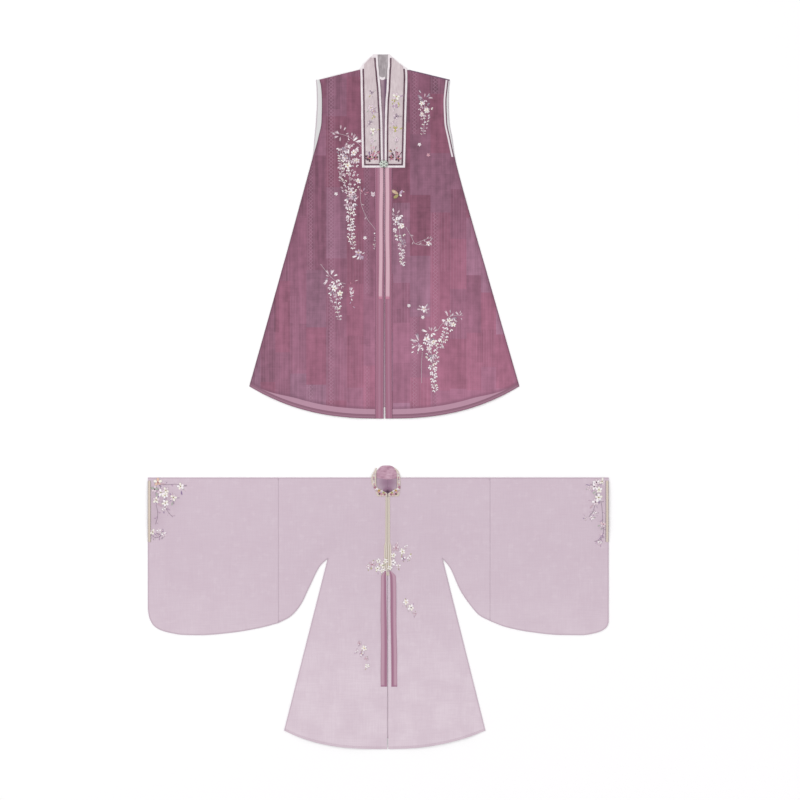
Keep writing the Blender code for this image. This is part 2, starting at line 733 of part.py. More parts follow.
def add_robe_sleeve(half):
    """The sleeve's end: folded at the top, closed below, open at the cuff, with its trim."""
    lower = SLEEVE_END[half.name]
    sewn = lower + [Edge(half.cuff, CUFF_OPENING)]
    cuff_share = CUFF_OPENING / lower[-1].down
    shares = [0.0, 0.02, 0.12, 0.24, 0.36, cuff_share, 0.6, 0.72, 0.84, 0.93, 1.0]
    cuff_line = [Edge(half.cuff, CUFF_FADE), Edge(half.cuff, CUFF_OPENING - CUFF_FADE)]

    def height(across, down):
        lofted = robe_height(half, across, down, sewn)
        away = distance_to_path(across, down, cuff_line)
        return mix(lofted, max(lofted, CUFF_TOP), 1.0 - smooth_step(away / CUFF_FADE))

    front, back = [], []
    for share in shares:
        front_row, back_row = [], []
        for edge in lower:
            across = edge.across + (GAP / 2.0 if edge is lower[0] else 0.0)
            down = edge.down * share
            front_row.append((across, down, height(across, down)))
            back_row.append((across, down, 0.0))
        front.append(front_row)
        back.append(back_row)
    grid = list(reversed(back)) + shoulder_turn(front[0]) + front
    place = on_robe(half.side)
    add_sheet(f"robe_sleeve_{half.name}", "lilac", [grid], place, outer_surface=True)

    trim = []
    for row in front[1 : shares.index(cuff_share) + 1]:
        trim.append([(across, down, top + GAP) for across, down, top in row[-CUFF_COLUMNS:]])
    add_sheet(f"robe_cuff_trim_{half.name}", "cream", [trim], place)


def add_robe_collar(half):
    """One front band of the stand collar."""
    grid = []
    for i, band in enumerate(ROBE_COLLAR):
        under = ROBE_FRONT_TOP + GAP
        if i < len(ROBE_COLLAR_UNDER):
            under = ROBE_COLLAR_UNDER[i]
        outer = getattr(band, f"{half.name}_outer")
        inner = getattr(band, f"{half.name}_inner")
        grid.append([(mix(inner, outer, share), band.down, under) for share in (0.0, 0.5, 1.0)])
    add_sheet(f"robe_collar_{half.name}", "cream", [grid], on_robe(half.side))


def add_robe_collar_back():
    """The back of the stand collar, inside up: a low arch above the neck seam."""
    grid = []
    for i in range(11):
        share = i / 10.0
        across = mix(-ROBE_COLLAR_BACK_LEFT, ROBE_COLLAR_BACK_RIGHT, share)
        top = -ROBE_COLLAR_TOP * (1.0 - ROBE_COLLAR_ARCH * abs(2.0 * share - 1.0) ** 3.2)
        seam = ROBE_NECK_DROP * (1.0 - abs(across) / ROBE_NECK_HALF) - 2.0 * GAP
        grid.append([(across, down, 0.0) for down in (top, mix(top, seam, 0.5), seam)])
    add_sheet("robe_collar_back", "mauve_inside", [grid], on_robe(1))


def add_strip(name, colour, half, rows):
    """A flat strip that lies on the robe's front beside the centre line."""
    under = ROBE_FRONT_TOP + GAP
    grid = [[(row.inner, row.down, under), (row.outer, row.down, under)] for row in rows]
    add_sheet(name, colour, [grid], on_robe(half.side))


clear_scene()
SET = make_collection("hanfu_dress_set")

back_edges_left = [(row.left_down, row.left) for row in VEST_BACK]
back_edges_right = [(row.right_down, row.right) for row in VEST_BACK]
add_vest_back()
add_vest_neck()
for side, name, table, back_edges in (
    (-1, "left", VEST_FRONT_LEFT, back_edges_left),
    (1, "right", VEST_FRONT_RIGHT, back_edges_right),
):
    index = 0 if side < 0 else 1
    add_vest_front(side, name, table)
    add_armhole_trim(side, name, table, back_edges)
    add_vest_collar(side, name)
    add_vest_placket(side, name, table, VEST_PLACKET_WIDTHS[index])
    add_vest_tie(side, name, index)
add_clasp()

add_robe_collar_back()
for half in (LEFT, RIGHT):
    add_robe_body(half)
    add_robe_sleeve(half)
    add_robe_collar(half)
    add_strip(f"robe_placket_{half.name}", "cream", half, ROBE_PLACKET)
    add_strip(f"robe_tie_{half.name}", "mauve", half, ROBE_TIES[half.name])
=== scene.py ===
# %% [markdown]
# # A hanfu dress set, laid flat
# Two garments lie one below the other on a pale surface: a long sleeveless over-vest of
# plum jacquard with an embroidered collar, and a sheer lilac robe with wide sleeves. The
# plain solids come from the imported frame, and this file dresses them: fine cloth, weaves,
# trim, ribbons, raised embroidery and stitching. The frame is loaded first, because every
# piece here lies where its solid lies.

import math
import random
from functools import partialmethod

import bmesh
import bpy
import numpy as np
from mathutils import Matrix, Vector
from mathutils.bvhtree import BVHTree


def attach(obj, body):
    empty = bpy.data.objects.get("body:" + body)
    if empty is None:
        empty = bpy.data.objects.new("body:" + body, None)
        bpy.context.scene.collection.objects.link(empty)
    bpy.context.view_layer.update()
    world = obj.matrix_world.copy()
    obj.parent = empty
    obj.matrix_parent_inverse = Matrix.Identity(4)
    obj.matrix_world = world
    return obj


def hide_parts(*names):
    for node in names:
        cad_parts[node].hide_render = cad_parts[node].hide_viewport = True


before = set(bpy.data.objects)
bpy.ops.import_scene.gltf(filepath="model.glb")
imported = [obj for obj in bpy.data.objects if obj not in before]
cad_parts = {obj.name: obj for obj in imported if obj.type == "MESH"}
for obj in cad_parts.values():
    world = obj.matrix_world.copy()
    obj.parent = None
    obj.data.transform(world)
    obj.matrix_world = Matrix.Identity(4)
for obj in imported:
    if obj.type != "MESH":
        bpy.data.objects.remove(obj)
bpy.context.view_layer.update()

# %% [markdown]
# ## Sizes
# Every garment is measured in millimetres from its own centre line (across, outwards) and
# from its own neck or shoulder line (down). These are the tables the solids were made
# from. A scene could also copy the solids' meshes, but they are coarse, and a curve drawn
# through the tables gives softer armholes, hems and sleeves at the same places.

# %% Layers and places
MM = 0.001
WALL, GAP = 1.0, 0.3  # wall of the solids, and their clear space
LAYER = WALL + GAP  # from the underside of one layer to that of the next
FRONT_UNDER, TRIM_UNDER, UPPER_UNDER = LAYER, 2 * LAYER, 3 * LAYER
CLOSED = 0.25  # a layer here reaches this far down into the gap, so no slit shows
ORIGINS = {"vest": (22.35, 1195.4), "robe": (33.85, -274.8)}  # centre line and top, in mm
SIDES = {"left": -1, "right": 1}


def place(garment, across, down, height):
    """Points of a garment, given in mm with right as positive, in the frame."""
    centre, top = ORIGINS[garment]
    return np.stack([(centre + across) * MM, (top - down) * MM, height * MM], axis=-1)


print("undersides of the layers", FRONT_UNDER, TRIM_UNDER, UPPER_UNDER)

# %% Tables of the vest
# inner edge, its down, outer edge, its down, bow of the row
VEST_FRONT = {
    "left": [
        (27, -15.1, 234, 36.6, 1), (20, 44.6, 228.4, 62, 1), (14.4, 109.4, 225, 116.6, 1),
        (9.2, 188.6, 226.8, 188.6, 1), (7.6, 260.6, 239.4, 249.8, 1), (6, 325.4, 257.4, 314.6, 1),
        (2.2, 790, 370.4, 726.8, 1.8), (3.2, 1256.4, 486.6, 1140, 2.5),
    ],
    "right": [
        (14, -15.1, 230.4, 40, 1), (11, 44.6, 227.2, 66.2, 1), (5.4, 109.4, 222.8, 116.6, 1),
        (2.6, 188.6, 225.4, 188.6, 1), (1.6, 260.6, 237.2, 249.8, 1), (1.8, 325.4, 251.6, 314.6, 1),
        (1.4, 790, 366.6, 726.8, 1.8), (3.2, 1256.4, 485.4, 1140, 2.5),
    ],
}
# left edge, its down, right edge, its down, down at the centre, bow
VEST_BACK = [
    (246.6, 39, 235.4, 40, 34, 1), (244, 66.2, 232, 66.2, 64, 2),
    (243, 116.6, 230.8, 116.6, 116.6, 2), (246.6, 188.6, 233.3, 188.6, 188.6, 2),
    (252, 249.8, 244, 249.8, 249.8, 2), (258.4, 314.6, 252.8, 314.6, 314.6, 2),
    (371.2, 726.8, 367.4, 726.8, 764.6, 1.7), (486.6, 1140, 485.4, 1140, 1214.6, 1.7),
]
# down, left outer, left inner, right inner, right outer
VEST_COLLAR = [
    (-54.4, 39, 24.8, 12.6, 17.6), (-41.8, 54, 24, 12.2, 32), (-27.4, 68, 23.2, 11.9, 49),
    (-13, 81.5, 22.7, 11.9, 66), (-2, 87, 21, 10.6, 80.5), (30.2, 86, 18, 9, 82.2),
    (73.4, 85.4, 14, 7.2, 81.2), (109.4, 84.6, 12.2, 4, 79.9), (188.6, 83.5, 7.9, 1.4, 77.8),
    (271.4, 82.1, 6.5, 0.6, 75.8), (353.2, 81, 5, 0.7, 73.8),
]
COLLAR_COLUMNS = {"left": (2, 1), "right": (3, 4)}  # inner and outer edge of either side
COLLAR_SHOULDER, VEST_COLLAR_END = -2, 353.2  # its rows at the neck points and at the end
COLLAR_TOP_UNDER = [1.3, 1.6, 2, 2.6]  # undersides of its first rows
VEST_NECK_HALF, VEST_NECK_DROP = 86, 34
ARMHOLE_END = 315
COLLAR_BORDER, COLLAR_FOLD_BORDER, PIPING_WIDTH = 8, 3.6, 5
BINDING_EDGE, BINDING_WIDTH, FACING_LAP = 3.6, 6.8, 7
PLACKET_WIDTHS = {"left": 30, "right": 25.2}
# inner edge of a ribbon at its top and its end, and its width
TIE_INNER = {"left": (4.6, 7.8), "right": (2.6, 4.4)}
TIE_WIDTHS = {"left": 12.8, "right": 14.4}
TIE_LENGTH = 473
print("rows of the vest", len(VEST_BACK), {name: len(rows) for name, rows in VEST_FRONT.items()})

# %% Tables of the robe
# across and down of the inner edge, and down of the outer edge, in the same rows
ROBE_NECK = [
    (43.2, 0), (42.6, 16), (40, 33), (21, 46), (3.2, 60), (1, 116), (1, 174), (1, 232), (1, 289.8),
]
ROBE_OUTER = [0, 14.5, 29, 43.5, 60, 116, 174, 232, 289.8]
# underarm across, hem across, hem down, bow of the hem, cuff across
ROBE_HALF = {
    "left": (215.6, 372.6, 908.6, 2.8, 862.9),
    "right": (197.2, 351.6, 908.6, 2.2, 795.2),
}
ROBE_LENGTH, ROBE_BACK_LENGTH, ROBE_HEM_SPLIT = 975, 937, 2.2
ROBE_NECK_HALF, ROBE_NECK_DROP = 43.2, 6.5
ROBE_FRONT_TOP, SEAM_TOP = 3.3, 2.3
# across, down: below the underarm to the sleeve's seam, and from there to the cuff
SLEEVE_ROOT = {
    "left": [
        (215.6, 289.8), (243.7, 317), (279.7, 387.7), (315.7, 459.7), (351.7, 499.3),
        (393.1, 521.5),
    ],
    "right": [
        (197.2, 289.8), (224.3, 322.9), (260.3, 402.1), (296.3, 456.1), (332.3, 495.7),
        (368.3, 514.4),
    ],
}
SLEEVE_END = {
    "left": [
        (393.1, 521.5), (459.7, 538.9), (567.7, 556.9), (675.7, 565.2), (736.9, 564.1),
        (783.7, 556.9), (819.7, 546), (841, 532), (852.1, 516), (859.3, 497), (862.9, 470),
    ],
    "right": [
        (368.3, 514.4), (422.3, 535.3), (512.3, 553.8), (620.3, 564.5), (700, 565.2), (746.3, 558),
        (769, 550.5), (784.4, 540), (791.6, 530.5), (795.2, 518),
    ],
}
CUFF_OPENING, CUFF_TOP, CUFF_FADE, CUFF_TRIM = 230, 4.8, 55, 10.8
# down, left outer, left inner, right inner, right outer
ROBE_COLLAR = [
    (-36, 42.5, 40, 23.4, 26.4), (-21.6, 50, 40.7, 32, 39.4), (0, 59, 41.4, 33.5, 45),
    (18, 58, 41.4, 33.5, 45.7), (32.4, 51.1, 38.5, 34.6, 45.4), (45, 44.6, 19.8, 19.4, 44.3),
    (57.6, 41.4, 1.1, 1.8, 42.8), (66, 36, 1.1, 1.8, 38.9),
]
ROBE_COLLAR_UNDER = [1.3, 2]  # undersides of its first rows
ROBE_COLLAR_TOP, ROBE_COLLAR_ARCH, ROBE_COLLAR_ENDS = 45, 0.62, (-42.4, 36)
# down, inner, outer
ROBE_PLACKET = [
    (66.6, 0.5, 7.6), (230, 0.5, 8.4), (244, 0.5, 12.2), (320, 0.5, 13.2), (331, 0.5, 4.8),
    (351, 0.5, 5.4),
]
ROBE_TIES = {
    "left": [
        (334, 6.6, 11), (356, 5.6, 24), (560, 2.4, 24.8), (750.6, 1.6, 24.8),
    ],
    "right": [
        (334, 6.6, 11.4), (356, 8.4, 29.4), (560, 11.4, 32), (750.6, 13.6, 34.4),
    ],
}
print("rows of the robe", len(ROBE_NECK), {name: len(rows) for name, rows in SLEEVE_END.items()})

# %% [markdown]
# ## Soft folds
# Cloth that was hung and then laid down keeps broad, shallow waves, and a few finer
# creases where it was folded. A simulation would find its own, so the main ones are listed
# here, as soft ridges and troughs from one point to another, uneven in length, depth
# and spacing. The broad ones are those of the solids.

# %% Folds and creases
# across, down, end across, end down, width, height
VEST_FOLDS = [
    (-120, 260, -230, 1010, 46, 1.9), (-205, 420, -350, 1060, 40, -1.3),
    (-70, 560, -105, 1230, 38, 1.5), (95, 330, 160, 1060, 44, 1.7), (190, 380, 310, 1090, 48, -1.4),
    (250, 560, 405, 1120, 36, 1.6), (-210, 60, -150, 290, 40, 1.1), (150, 50, 205, 330, 42, -0.9),
]
VEST_CREASES = [
    (-60, 420, -66, 1190, 7, 0.5), (-300, 640, -405, 1090, 9, 0.7), (-180, 300, -214, 700, 8, -0.5),
    (-150, 700, -170, 1160, 10, 0.6), (-190, 240, -120, 150, 9, 0.5), (64, 400, 88, 1130, 8, 0.5),
    (215, 270, 260, 620, 9, -0.6), (180, 640, 226, 1150, 7, 0.6), (330, 700, 420, 1080, 11, 0.8),
    (120, 130, 190, 250, 10, 0.4), (-250, 905, -90, 930, 12, 0.4), (60, 742, 300, 716, 12, 0.4),
]
ROBE_FOLDS = [
    (-110, 330, -170, 930, 42, 1.8), (-190, 420, -285, 900, 38, -1.2),
    (105, 300, 150, 920, 44, 1.6), (185, 430, 275, 905, 36, 1.4), (-205, 110, -330, 430, 46, 1.5),
    (190, 90, 300, 400, 44, -1.2), (-470, 60, -560, 520, 52, 1.7), (-640, 150, -720, 540, 48, -1.3),
    (-790, 60, -800, 430, 40, 1.4), (450, 120, 500, 530, 46, 1.5), (560, 40, 640, 500, 54, -1.4),
    (720, 130, 745, 480, 42, 1.6),
]
ROBE_CREASES = [
    (-70, 420, -84, 930, 8, 0.5), (-240, 600, -318, 890, 9, 0.6), (72, 500, 96, 940, 9, 0.6),
    (232, 560, 300, 880, 8, -0.5), (-250, 60, -300, 330, 9, 0.5), (-540, 90, -590, 420, 10, 0.6),
    (-700, 260, -745, 540, 8, 0.6), (-160, 150, -120, 300, 10, 0.4), (240, 120, 270, 350, 9, 0.5),
    (500, 70, 560, 380, 9, -0.6), (660, 240, 690, 530, 10, 0.6), (130, 170, 165, 310, 11, 0.4),
    (-320, 262, -760, 300, 14, 0.5), (330, 300, 700, 276, 14, 0.5),
]
FOLDS = {"vest": (VEST_FOLDS, VEST_CREASES), "robe": (ROBE_FOLDS, ROBE_CREASES)}
FOLD_FADE, CREASE_FADE, FOLD_END_SHARE = 120, 60, 0.6
LOFT, LOFT_REACH, SHOULDER_REACH, ROBE_EXTRA_LOFT = 2.2, 70, 60, 1
CENTRE_FLAT, CENTRE_BLEND = 45, 60
UNEVEN = 0.16  # height of what the hand left, in mm


def smooth_step(value):
    value = np.clip(value, 0, 1)
    return value * value * (3 - 2 * value)


def mix(start, end, share):
    return start + (end - start) * share


def bell(value):
    return np.exp(-(value**2))


def grid_of(*fields):
    """Fields of numbers, such as across, down and height, as one grid of points."""
    return np.stack(np.broadcast_arrays(*fields), axis=-1)


def relief(across, down, folds, fade_length):
    """How far ridges and troughs lift or lower points of an upper layer."""
    total = np.zeros_like(across + down)
    for start_across, start_down, end_across, end_down, width, height in folds:
        run = np.array([end_across - start_across, end_down - start_down], float)
        length = np.linalg.norm(run)
        run /= length
        along = (across - start_across) * run[0] + (down - start_down) * run[1]
        beside = (across - start_across) * run[1] - (down - start_down) * run[0]
        fade = smooth_step(along / fade_length)
        fade = fade * smooth_step((length - along) / fade_length + FOLD_END_SHARE)
        total += height * fade * bell(beside / width)
    return total


def waves(garment, across, down):
    """Folds, fine creases, and the slight unevenness of cloth that was smoothed by hand."""
    folds, creases = FOLDS[garment]
    uneven = np.sin(across / 31 + 1.3 * np.sin(down / 47)) * np.sin(down / 39 + 0.7)
    fine = relief(across, down, creases, CREASE_FADE) + UNEVEN * uneven
    return relief(across, down, folds, FOLD_FADE) + fine


def flowing(rows, reach, chord=4, gaps=None):
    """The rows of a table with more between them, on curves that never swing past them.

    The first chord columns give the distance between two rows, or else gaps gives it.
    """
    rows = np.array(rows, float)
    if gaps is None:
        gaps = np.linalg.norm(np.diff(rows[:, :chord], axis=0), axis=1)
    gaps = np.array(gaps, float)[:, None]
    slopes = np.diff(rows, axis=0) / gaps
    before, after = slopes[:-1], slopes[1:]
    same_way = before * after > 0
    safe = np.where(same_way, before + after, 1)
    middle = np.where(same_way, 2 * before * after / safe, 0)
    tangents = np.vstack([slopes[:1], middle, slopes[-1:]])
    fine = [rows[:1]]
    for i, gap in enumerate(gaps[:, 0]):
        count = max(1, math.ceil(gap / reach))
        t = (np.arange(count)[:, None] + 1) / count
        fine.append(
            (2 * t**3 - 3 * t**2 + 1) * rows[i]
            + (t**3 - 2 * t**2 + t) * gap * tangents[i]
            + (3 * t**2 - 2 * t**3) * rows[i + 1]
            + (t**3 - t**2) * gap * tangents[i + 1]
        )
    return np.vstack(fine)


def split_rows(rows):
    """The columns of some rows, each as a column of its own."""
    return [rows[:, [k]] for k in range(rows.shape[1])]


def to_path(across, down, path):
    """Distance of points from the nearest stretch of a path of (across, down) points."""
    nearest = np.full(np.shape(across + down), np.inf)
    for start, end in zip(path, path[1:]):
        run = np.array(end) - np.array(start)
        size = max(run @ run, 1e-9)
        share = ((across - start[0]) * run[0] + (down - start[1]) * run[1]) / size
        share = np.clip(share, 0, 1)
        beside = np.hypot(across - start[0] - run[0] * share, down - start[1] - run[1] * share)
        nearest = np.minimum(nearest, beside)
    return nearest


print("folds and creases", {name: [len(part) for part in parts] for name, parts in FOLDS.items()})

# %% [markdown]
# ## How a material is built
# Each finish is a small net of nodes. One function adds a node with its settings and
# links, and another turns the hex colours that a colour chart gives into the linear values
# that the renderer needs. A Term stands for the output of a node, and sums and products of
# terms become Math nodes. Patterns are drawn in millimetres on Object coordinates, because
# the garments lie straight on the frame, or on measures that the cloth itself carries.

# %% Node and colour helpers
CLOTH_GLOSS, CLOTH_BUMP = 0.22, 0.6  # specular level and bump strength of every fabric


def linear(code):
    """An sRGB hex colour such as "#93687c" as linear red, green, blue and 1."""
    parts = [int(code[i : i + 2], 16) / 255 for i in (1, 3, 5)]
    return [p / 12.92 if p <= 0.04045 else ((p + 0.055) / 1.055) ** 2.4 for p in parts] + [1]


def add(tree, kind, values=None, **settings):
    """Adds a node; values go to its inputs by name or number, as links or as constants."""
    made = tree.nodes.new(kind)
    for key, value in settings.items():
        setattr(made, key, value)
    for key, value in (values or {}).items():
        value = value.socket if isinstance(value, Term) else value
        if isinstance(value, bpy.types.NodeSocket):
            tree.links.new(value, made.inputs[key])
        else:
            made.inputs[key].default_value = value
    return made


class Term:
    """The output of a node, to be reckoned with."""

    def __init__(self, tree, socket):
        self.tree, self.socket = tree, socket

    def maths(self, operation, *others):
        values = dict(enumerate((self, *others)))
        node = add(self.tree, "ShaderNodeMath", values, operation=operation)
        return Term(self.tree, node.outputs[0])

    __add__ = partialmethod(maths, "ADD")
    __sub__ = partialmethod(maths, "SUBTRACT")
    __mul__ = partialmethod(maths, "MULTIPLY")
    __truediv__ = partialmethod(maths, "DIVIDE")
    __gt__ = partialmethod(maths, "GREATER_THAN")
    __lt__ = partialmethod(maths, "LESS_THAN")
    __abs__ = partialmethod(maths, "ABSOLUTE")

    def sine(self, length):
        """A sine wave of this length."""
        return (self * (2 * math.pi / length)).maths("SINE")

    def between(self, low, high, start=0, end=1):
        """Mapped from low..high to start..end, softly and clamped."""
        values = {0: self, 1: low, 2: high, 3: start, 4: end}
        node = add(self.tree, "ShaderNodeMapRange", values, interpolation_type="SMOOTHSTEP")
        return Term(self.tree, node.outputs[0])


def split(tree, vector):
    """The three parts of a vector."""
    return [Term(tree, part) for part in add(tree, "ShaderNodeSeparateXYZ", {0: vector}).outputs]


def plain_material(name):
    material = bpy.data.materials.new(name)
    material.use_nodes = True
    return material, material.node_tree.nodes["Principled BSDF"]


class Finish:
    """A material in the making: its colour so far, and its coordinates in millimetres."""

    def __init__(self, name, base="#ffffff"):
        self.material, self.shader = plain_material(name)
        self.tree, self.colour = self.material.node_tree, linear(base)
        spot = add(self.tree, "ShaderNodeTexCoord").outputs["Object"]
        self.vector = self.scaled(spot, 1000)
        self.x, self.y, _z = split(self.tree, self.vector)

    def scaled(self, vector, factor):
        values = {0: vector, "Scale": factor}
        return add(self.tree, "ShaderNodeVectorMath", values, operation="SCALE").outputs[0]

    def carried(self, name, output="Vector"):
        """An attribute that the mesh carries, as it is or as its three parts."""
        socket = add(self.tree, "ShaderNodeAttribute", attribute_name=name).outputs[output]
        return split(self.tree, socket) if output == "Vector" else socket

    def noise(self, across_mm, down_mm, detail=2):
        """Noise whose patches are about across_mm by down_mm, from 0 to 1."""
        values = {0: self.vector, 1: (1 / across_mm, 1 / down_mm, 0.05)}
        spot = add(self.tree, "ShaderNodeVectorMath", values, operation="MULTIPLY").outputs[0]
        values = {"Vector": spot, "Scale": 1, "Detail": detail, "Roughness": 0.55}
        return Term(self.tree, add(self.tree, "ShaderNodeTexNoise", values).outputs[0])

    def chance(self, seed, *values):
        """A random number that stays the same all over one column or block."""
        spot = add(self.tree, "ShaderNodeCombineXYZ", {**dict(enumerate(values)), 2: seed})
        noise = add(self.tree, "ShaderNodeTexWhiteNoise", {0: spot.outputs[0]})
        return Term(self.tree, noise.outputs["Value"])

    def threads(self):
        """The height of a plain weave, from 0 to 1."""
        return self.x.sine(WEAVE_PITCH) * self.y.sine(WEAVE_PITCH) * 0.5 + 0.5

    def dye(self, share, code):
        """Turns the colour towards another one, by a share from 0 to 1."""
        values = {0: share, 6: self.colour, 7: linear(code)}
        self.colour = add(self.tree, "ShaderNodeMix", values, data_type="RGBA").outputs[2]

    def done(self, constants, height=None, depth_mm=0, strength=1):
        """Links colour and bump, and sets the constants on the shader itself."""
        self.tree.links.new(self.colour, self.shader.inputs["Base Color"])
        if height:
            values = {"Height": height, "Distance": depth_mm * MM, "Strength": strength}
            bump = add(self.tree, "ShaderNodeBump", values)
            self.tree.links.new(bump.outputs[0], self.shader.inputs["Normal"])
        for label, value in constants.items():
            self.shader.inputs[label].default_value = value
        return self.material

    def woven(self, height, depth_mm, roughness=0.7, sheen=0, tint="#ffffff"):
        """Ends a fabric: rough, hardly glossy, with a soft sheen."""
        constants = {"Roughness": roughness, "Specular IOR Level": CLOTH_GLOSS}
        constants |= {"Sheen Weight": sheen, "Sheen Roughness": 0.45, "Sheen Tint": linear(tint)}
        return self.done(constants, height, depth_mm, CLOTH_BUMP)


print("plum in linear values", [round(part, 3) for part in linear("#7a4e62")])

# %% [markdown]
# ## Plum silk jacquard
# The vest is a thin jacquard silk: tone-on-tone blocks woven side by side in straight
# columns, with narrow guard stripes of lozenges between some of them. The loom makes the
# blocks lighter or darker by turning more or less weft to the face, so one dye gives many
# near shades. A painted image would do, but node maths on the millimetre grid keeps the
# edges crisp at any size. Near the hem only one layer of the sheer cloth lies on the
# surface, and it looks lighter there; the turned-up hem looks darker. The cloth carries
# those distances as an attribute, "lay".

# %% Plum jacquard
COLUMN, WAVE, WAVE_LENGTH = 62, 11, 57  # block column and how its width varies
STRIPE, RIPPLE, RIPPLE_LENGTH = 14, 9, 17  # narrow stripes inside the blocks
BLOCK_LENGTHS, STRIPE_LENGTHS = (120, 170), (230, 200)  # shortest, and how much more
LOZENGE_PITCH, LOZENGE_START, LOZENGE_END = 13, 8, 21
RAIL_MIDDLE, RAIL_HALF, PIN_PITCH = 14.5, 11, 10.5
SLUB_ACROSS, SLUB_DOWN = 3.4, 130  # real slubs are 0.5 mm wide; drawn coarser to show
WEAVE_PITCH = 2.4  # real threads are 0.25 mm apart; drawn ten times coarser to show


def columns(fabric, x, width, lengths, seed):
    """Columns of cloth cut into lengths: the column, its inside in mm, and the block."""
    at = x / width
    column = at.maths("FLOOR")
    tall = fabric.chance(seed, column) * lengths[1] + lengths[0]
    start = fabric.chance(seed + 2, column) * 900 + fabric.y
    return column, at.maths("FRACT") * width, (start / tall).maths("FLOOR")


def lozenges(y, inside):
    """A guard stripe of lozenges between two rails."""
    zigzag = y.maths("PINGPONG", LOZENGE_PITCH / 2)
    near = abs(inside - zigzag - LOZENGE_START)
    far = abs(inside + zigzag - LOZENGE_END)
    line = near.maths("MINIMUM", far).between(0.9, 2.2, 1, 0)
    rail = abs(abs(inside - RAIL_MIDDLE) - RAIL_HALF).between(0.6, 1.6, 0.7, 0)
    return line.maths("MAXIMUM", rail)


def jacquard(name, base, light, rose, grey, contrast=1, hem=True):
    """Plum jacquard: blocks, stripes and slubs change the base colour's brightness."""
    fabric = Finish(name, base)
    x, y = fabric.x, fabric.y
    bent = (x / WAVE_LENGTH).maths("SINE") * WAVE + x
    column, inside, block = columns(fabric, bent, COLUMN, BLOCK_LENGTHS, 3)
    bent = (x / RIPPLE_LENGTH).maths("SINE") * RIPPLE + bent
    stripe, _inside, length = columns(fabric, bent, STRIPE, STRIPE_LENGTHS, 23)
    slub = fabric.noise(SLUB_ACROSS, SLUB_DOWN, 3)
    gain = 0
    for value, swing in (
        (fabric.chance(7, column, block), 0.3),
        (fabric.chance(29, stripe, length), 0.24),
        (slub, 0.45),
        (fabric.noise(19, 260), 0.65),  # broad streaks
        (fabric.noise(70, 2.6), 0.35),  # uneven weft
        (fabric.noise(26, 30, 3), 0.75),  # mottle
    ):
        gain = (value - 0.5) * swing + gain
    # brighter and a little paler towards the hem, and more so on the right
    low = y.between(1080, 60)
    fade = low * (x.between(-520, 480, -0.09, 0.42) + 0.3)
    fabric.dye(low * 0.07, light)
    kind = fabric.chance(31, column, block)
    fabric.dye((kind > 0.72) * 0.4, rose)
    fabric.dye((kind < 0.3) * (low * 0.4 + 0.24), grey)  # the chest's blocks differ less
    fabric.colour = fabric.scaled(fabric.colour, gain * contrast + fade + 1)

    pinned = fabric.chance(11, column, block) > 0.76
    pins = ((inside / PIN_PITCH).maths("FRACT") < 0.22) * pinned
    fabric.dye(pins * (0.15 * contrast), light)
    guarded = (fabric.chance(13, column) > 0.62) * (fabric.chance(17, column, block) > 0.3)
    guard = lozenges(y, inside) * guarded
    fabric.dye(guard * 0.34, light)

    if hem:
        side, up, behind = fabric.carried("lay")
        for value, start, end, strength, shade in (
            (behind, 14, 3, 0.4, "#6f4a5d"),  # the back's turned hem, seen through
            (behind, 1, -1, 0.8, "#b990a4"),  # the front alone, below the back's hem
            (up, 16, 14.5, 0.85, "#835a6d"),  # its own turned hem
            (side, 11, 9.5, 0.2, "#6d4156"),  # the seam allowance
            (side, 4.4, 1.6, 0.65, "#5a3548"),  # the seam
        ):
            fabric.dye(value.between(start, end, 0, strength), shade)
        fabric.dye(abs(up - 6).between(0.8, 2.4, 0.35, 0), light)
    else:
        # painted shadow in the narrow gap between the collar bands, on the back
        fabric.dye(x.between(16, 26) * y.between(840, 900) * 0.8, "#5d3f5c")
    return fabric.woven(fabric.threads() * 0.35 + slub + guard * 0.8, 0.35, 0.62, 0.12, "#e6c3d3")


vest_silk = jacquard("plum_silk_jacquard", "#7a4e62", "#b48ba0", "#824c5f", "#866377")
vest_inside = jacquard(
    "plum_silk_inside", "#977c8a", "#b59aa8", "#92707f", "#9c8794", 0.6, hem=False
)
print("jacquard nodes", len(vest_silk.node_tree.nodes))

# %% [markdown]
# ## Plain silks, satin ribbon and trim
# The collar panels are pale pink satin, the borders white satin bias, the piping plum
# satin, the linings grey silk, and the ribbons pink and mauve satin. They differ in colour,
# in how far the sheen spreads, and in the direction of their threads, so one function makes
# them all: satin floats show as fine ribs along one direction with soft streaks.

# %% Satins
def satin(name, base, light, dark, ribs_mm, along_x=False, roughness=0.5):
    """A satin or silk with threads along its length and soft, uneven streaks."""
    fabric = Finish(name)
    run, beside = (fabric.x, fabric.y) if along_x else (fabric.y, fabric.x)
    streak = fabric.noise(*((26, 2.4) if along_x else (2.4, 26)), 3)
    share = streak * 0.6 + fabric.noise(22, 30) * 0.4
    ramp = add(fabric.tree, "ShaderNodeValToRGB", {0: share})
    stops = ramp.color_ramp.elements
    stops[0].position, stops[1].position = 0.325, 0.675
    stops.new(0.5)
    for stop, colour in zip(stops, (dark, base, light)):
        stop.color = linear(colour)
    fabric.colour = ramp.outputs[0]
    height = beside.sine(ribs_mm) * 0.5 + run.sine(1.7 * ribs_mm) * 0.2 + streak
    return fabric.woven(height, 0.25, roughness, 0.1)


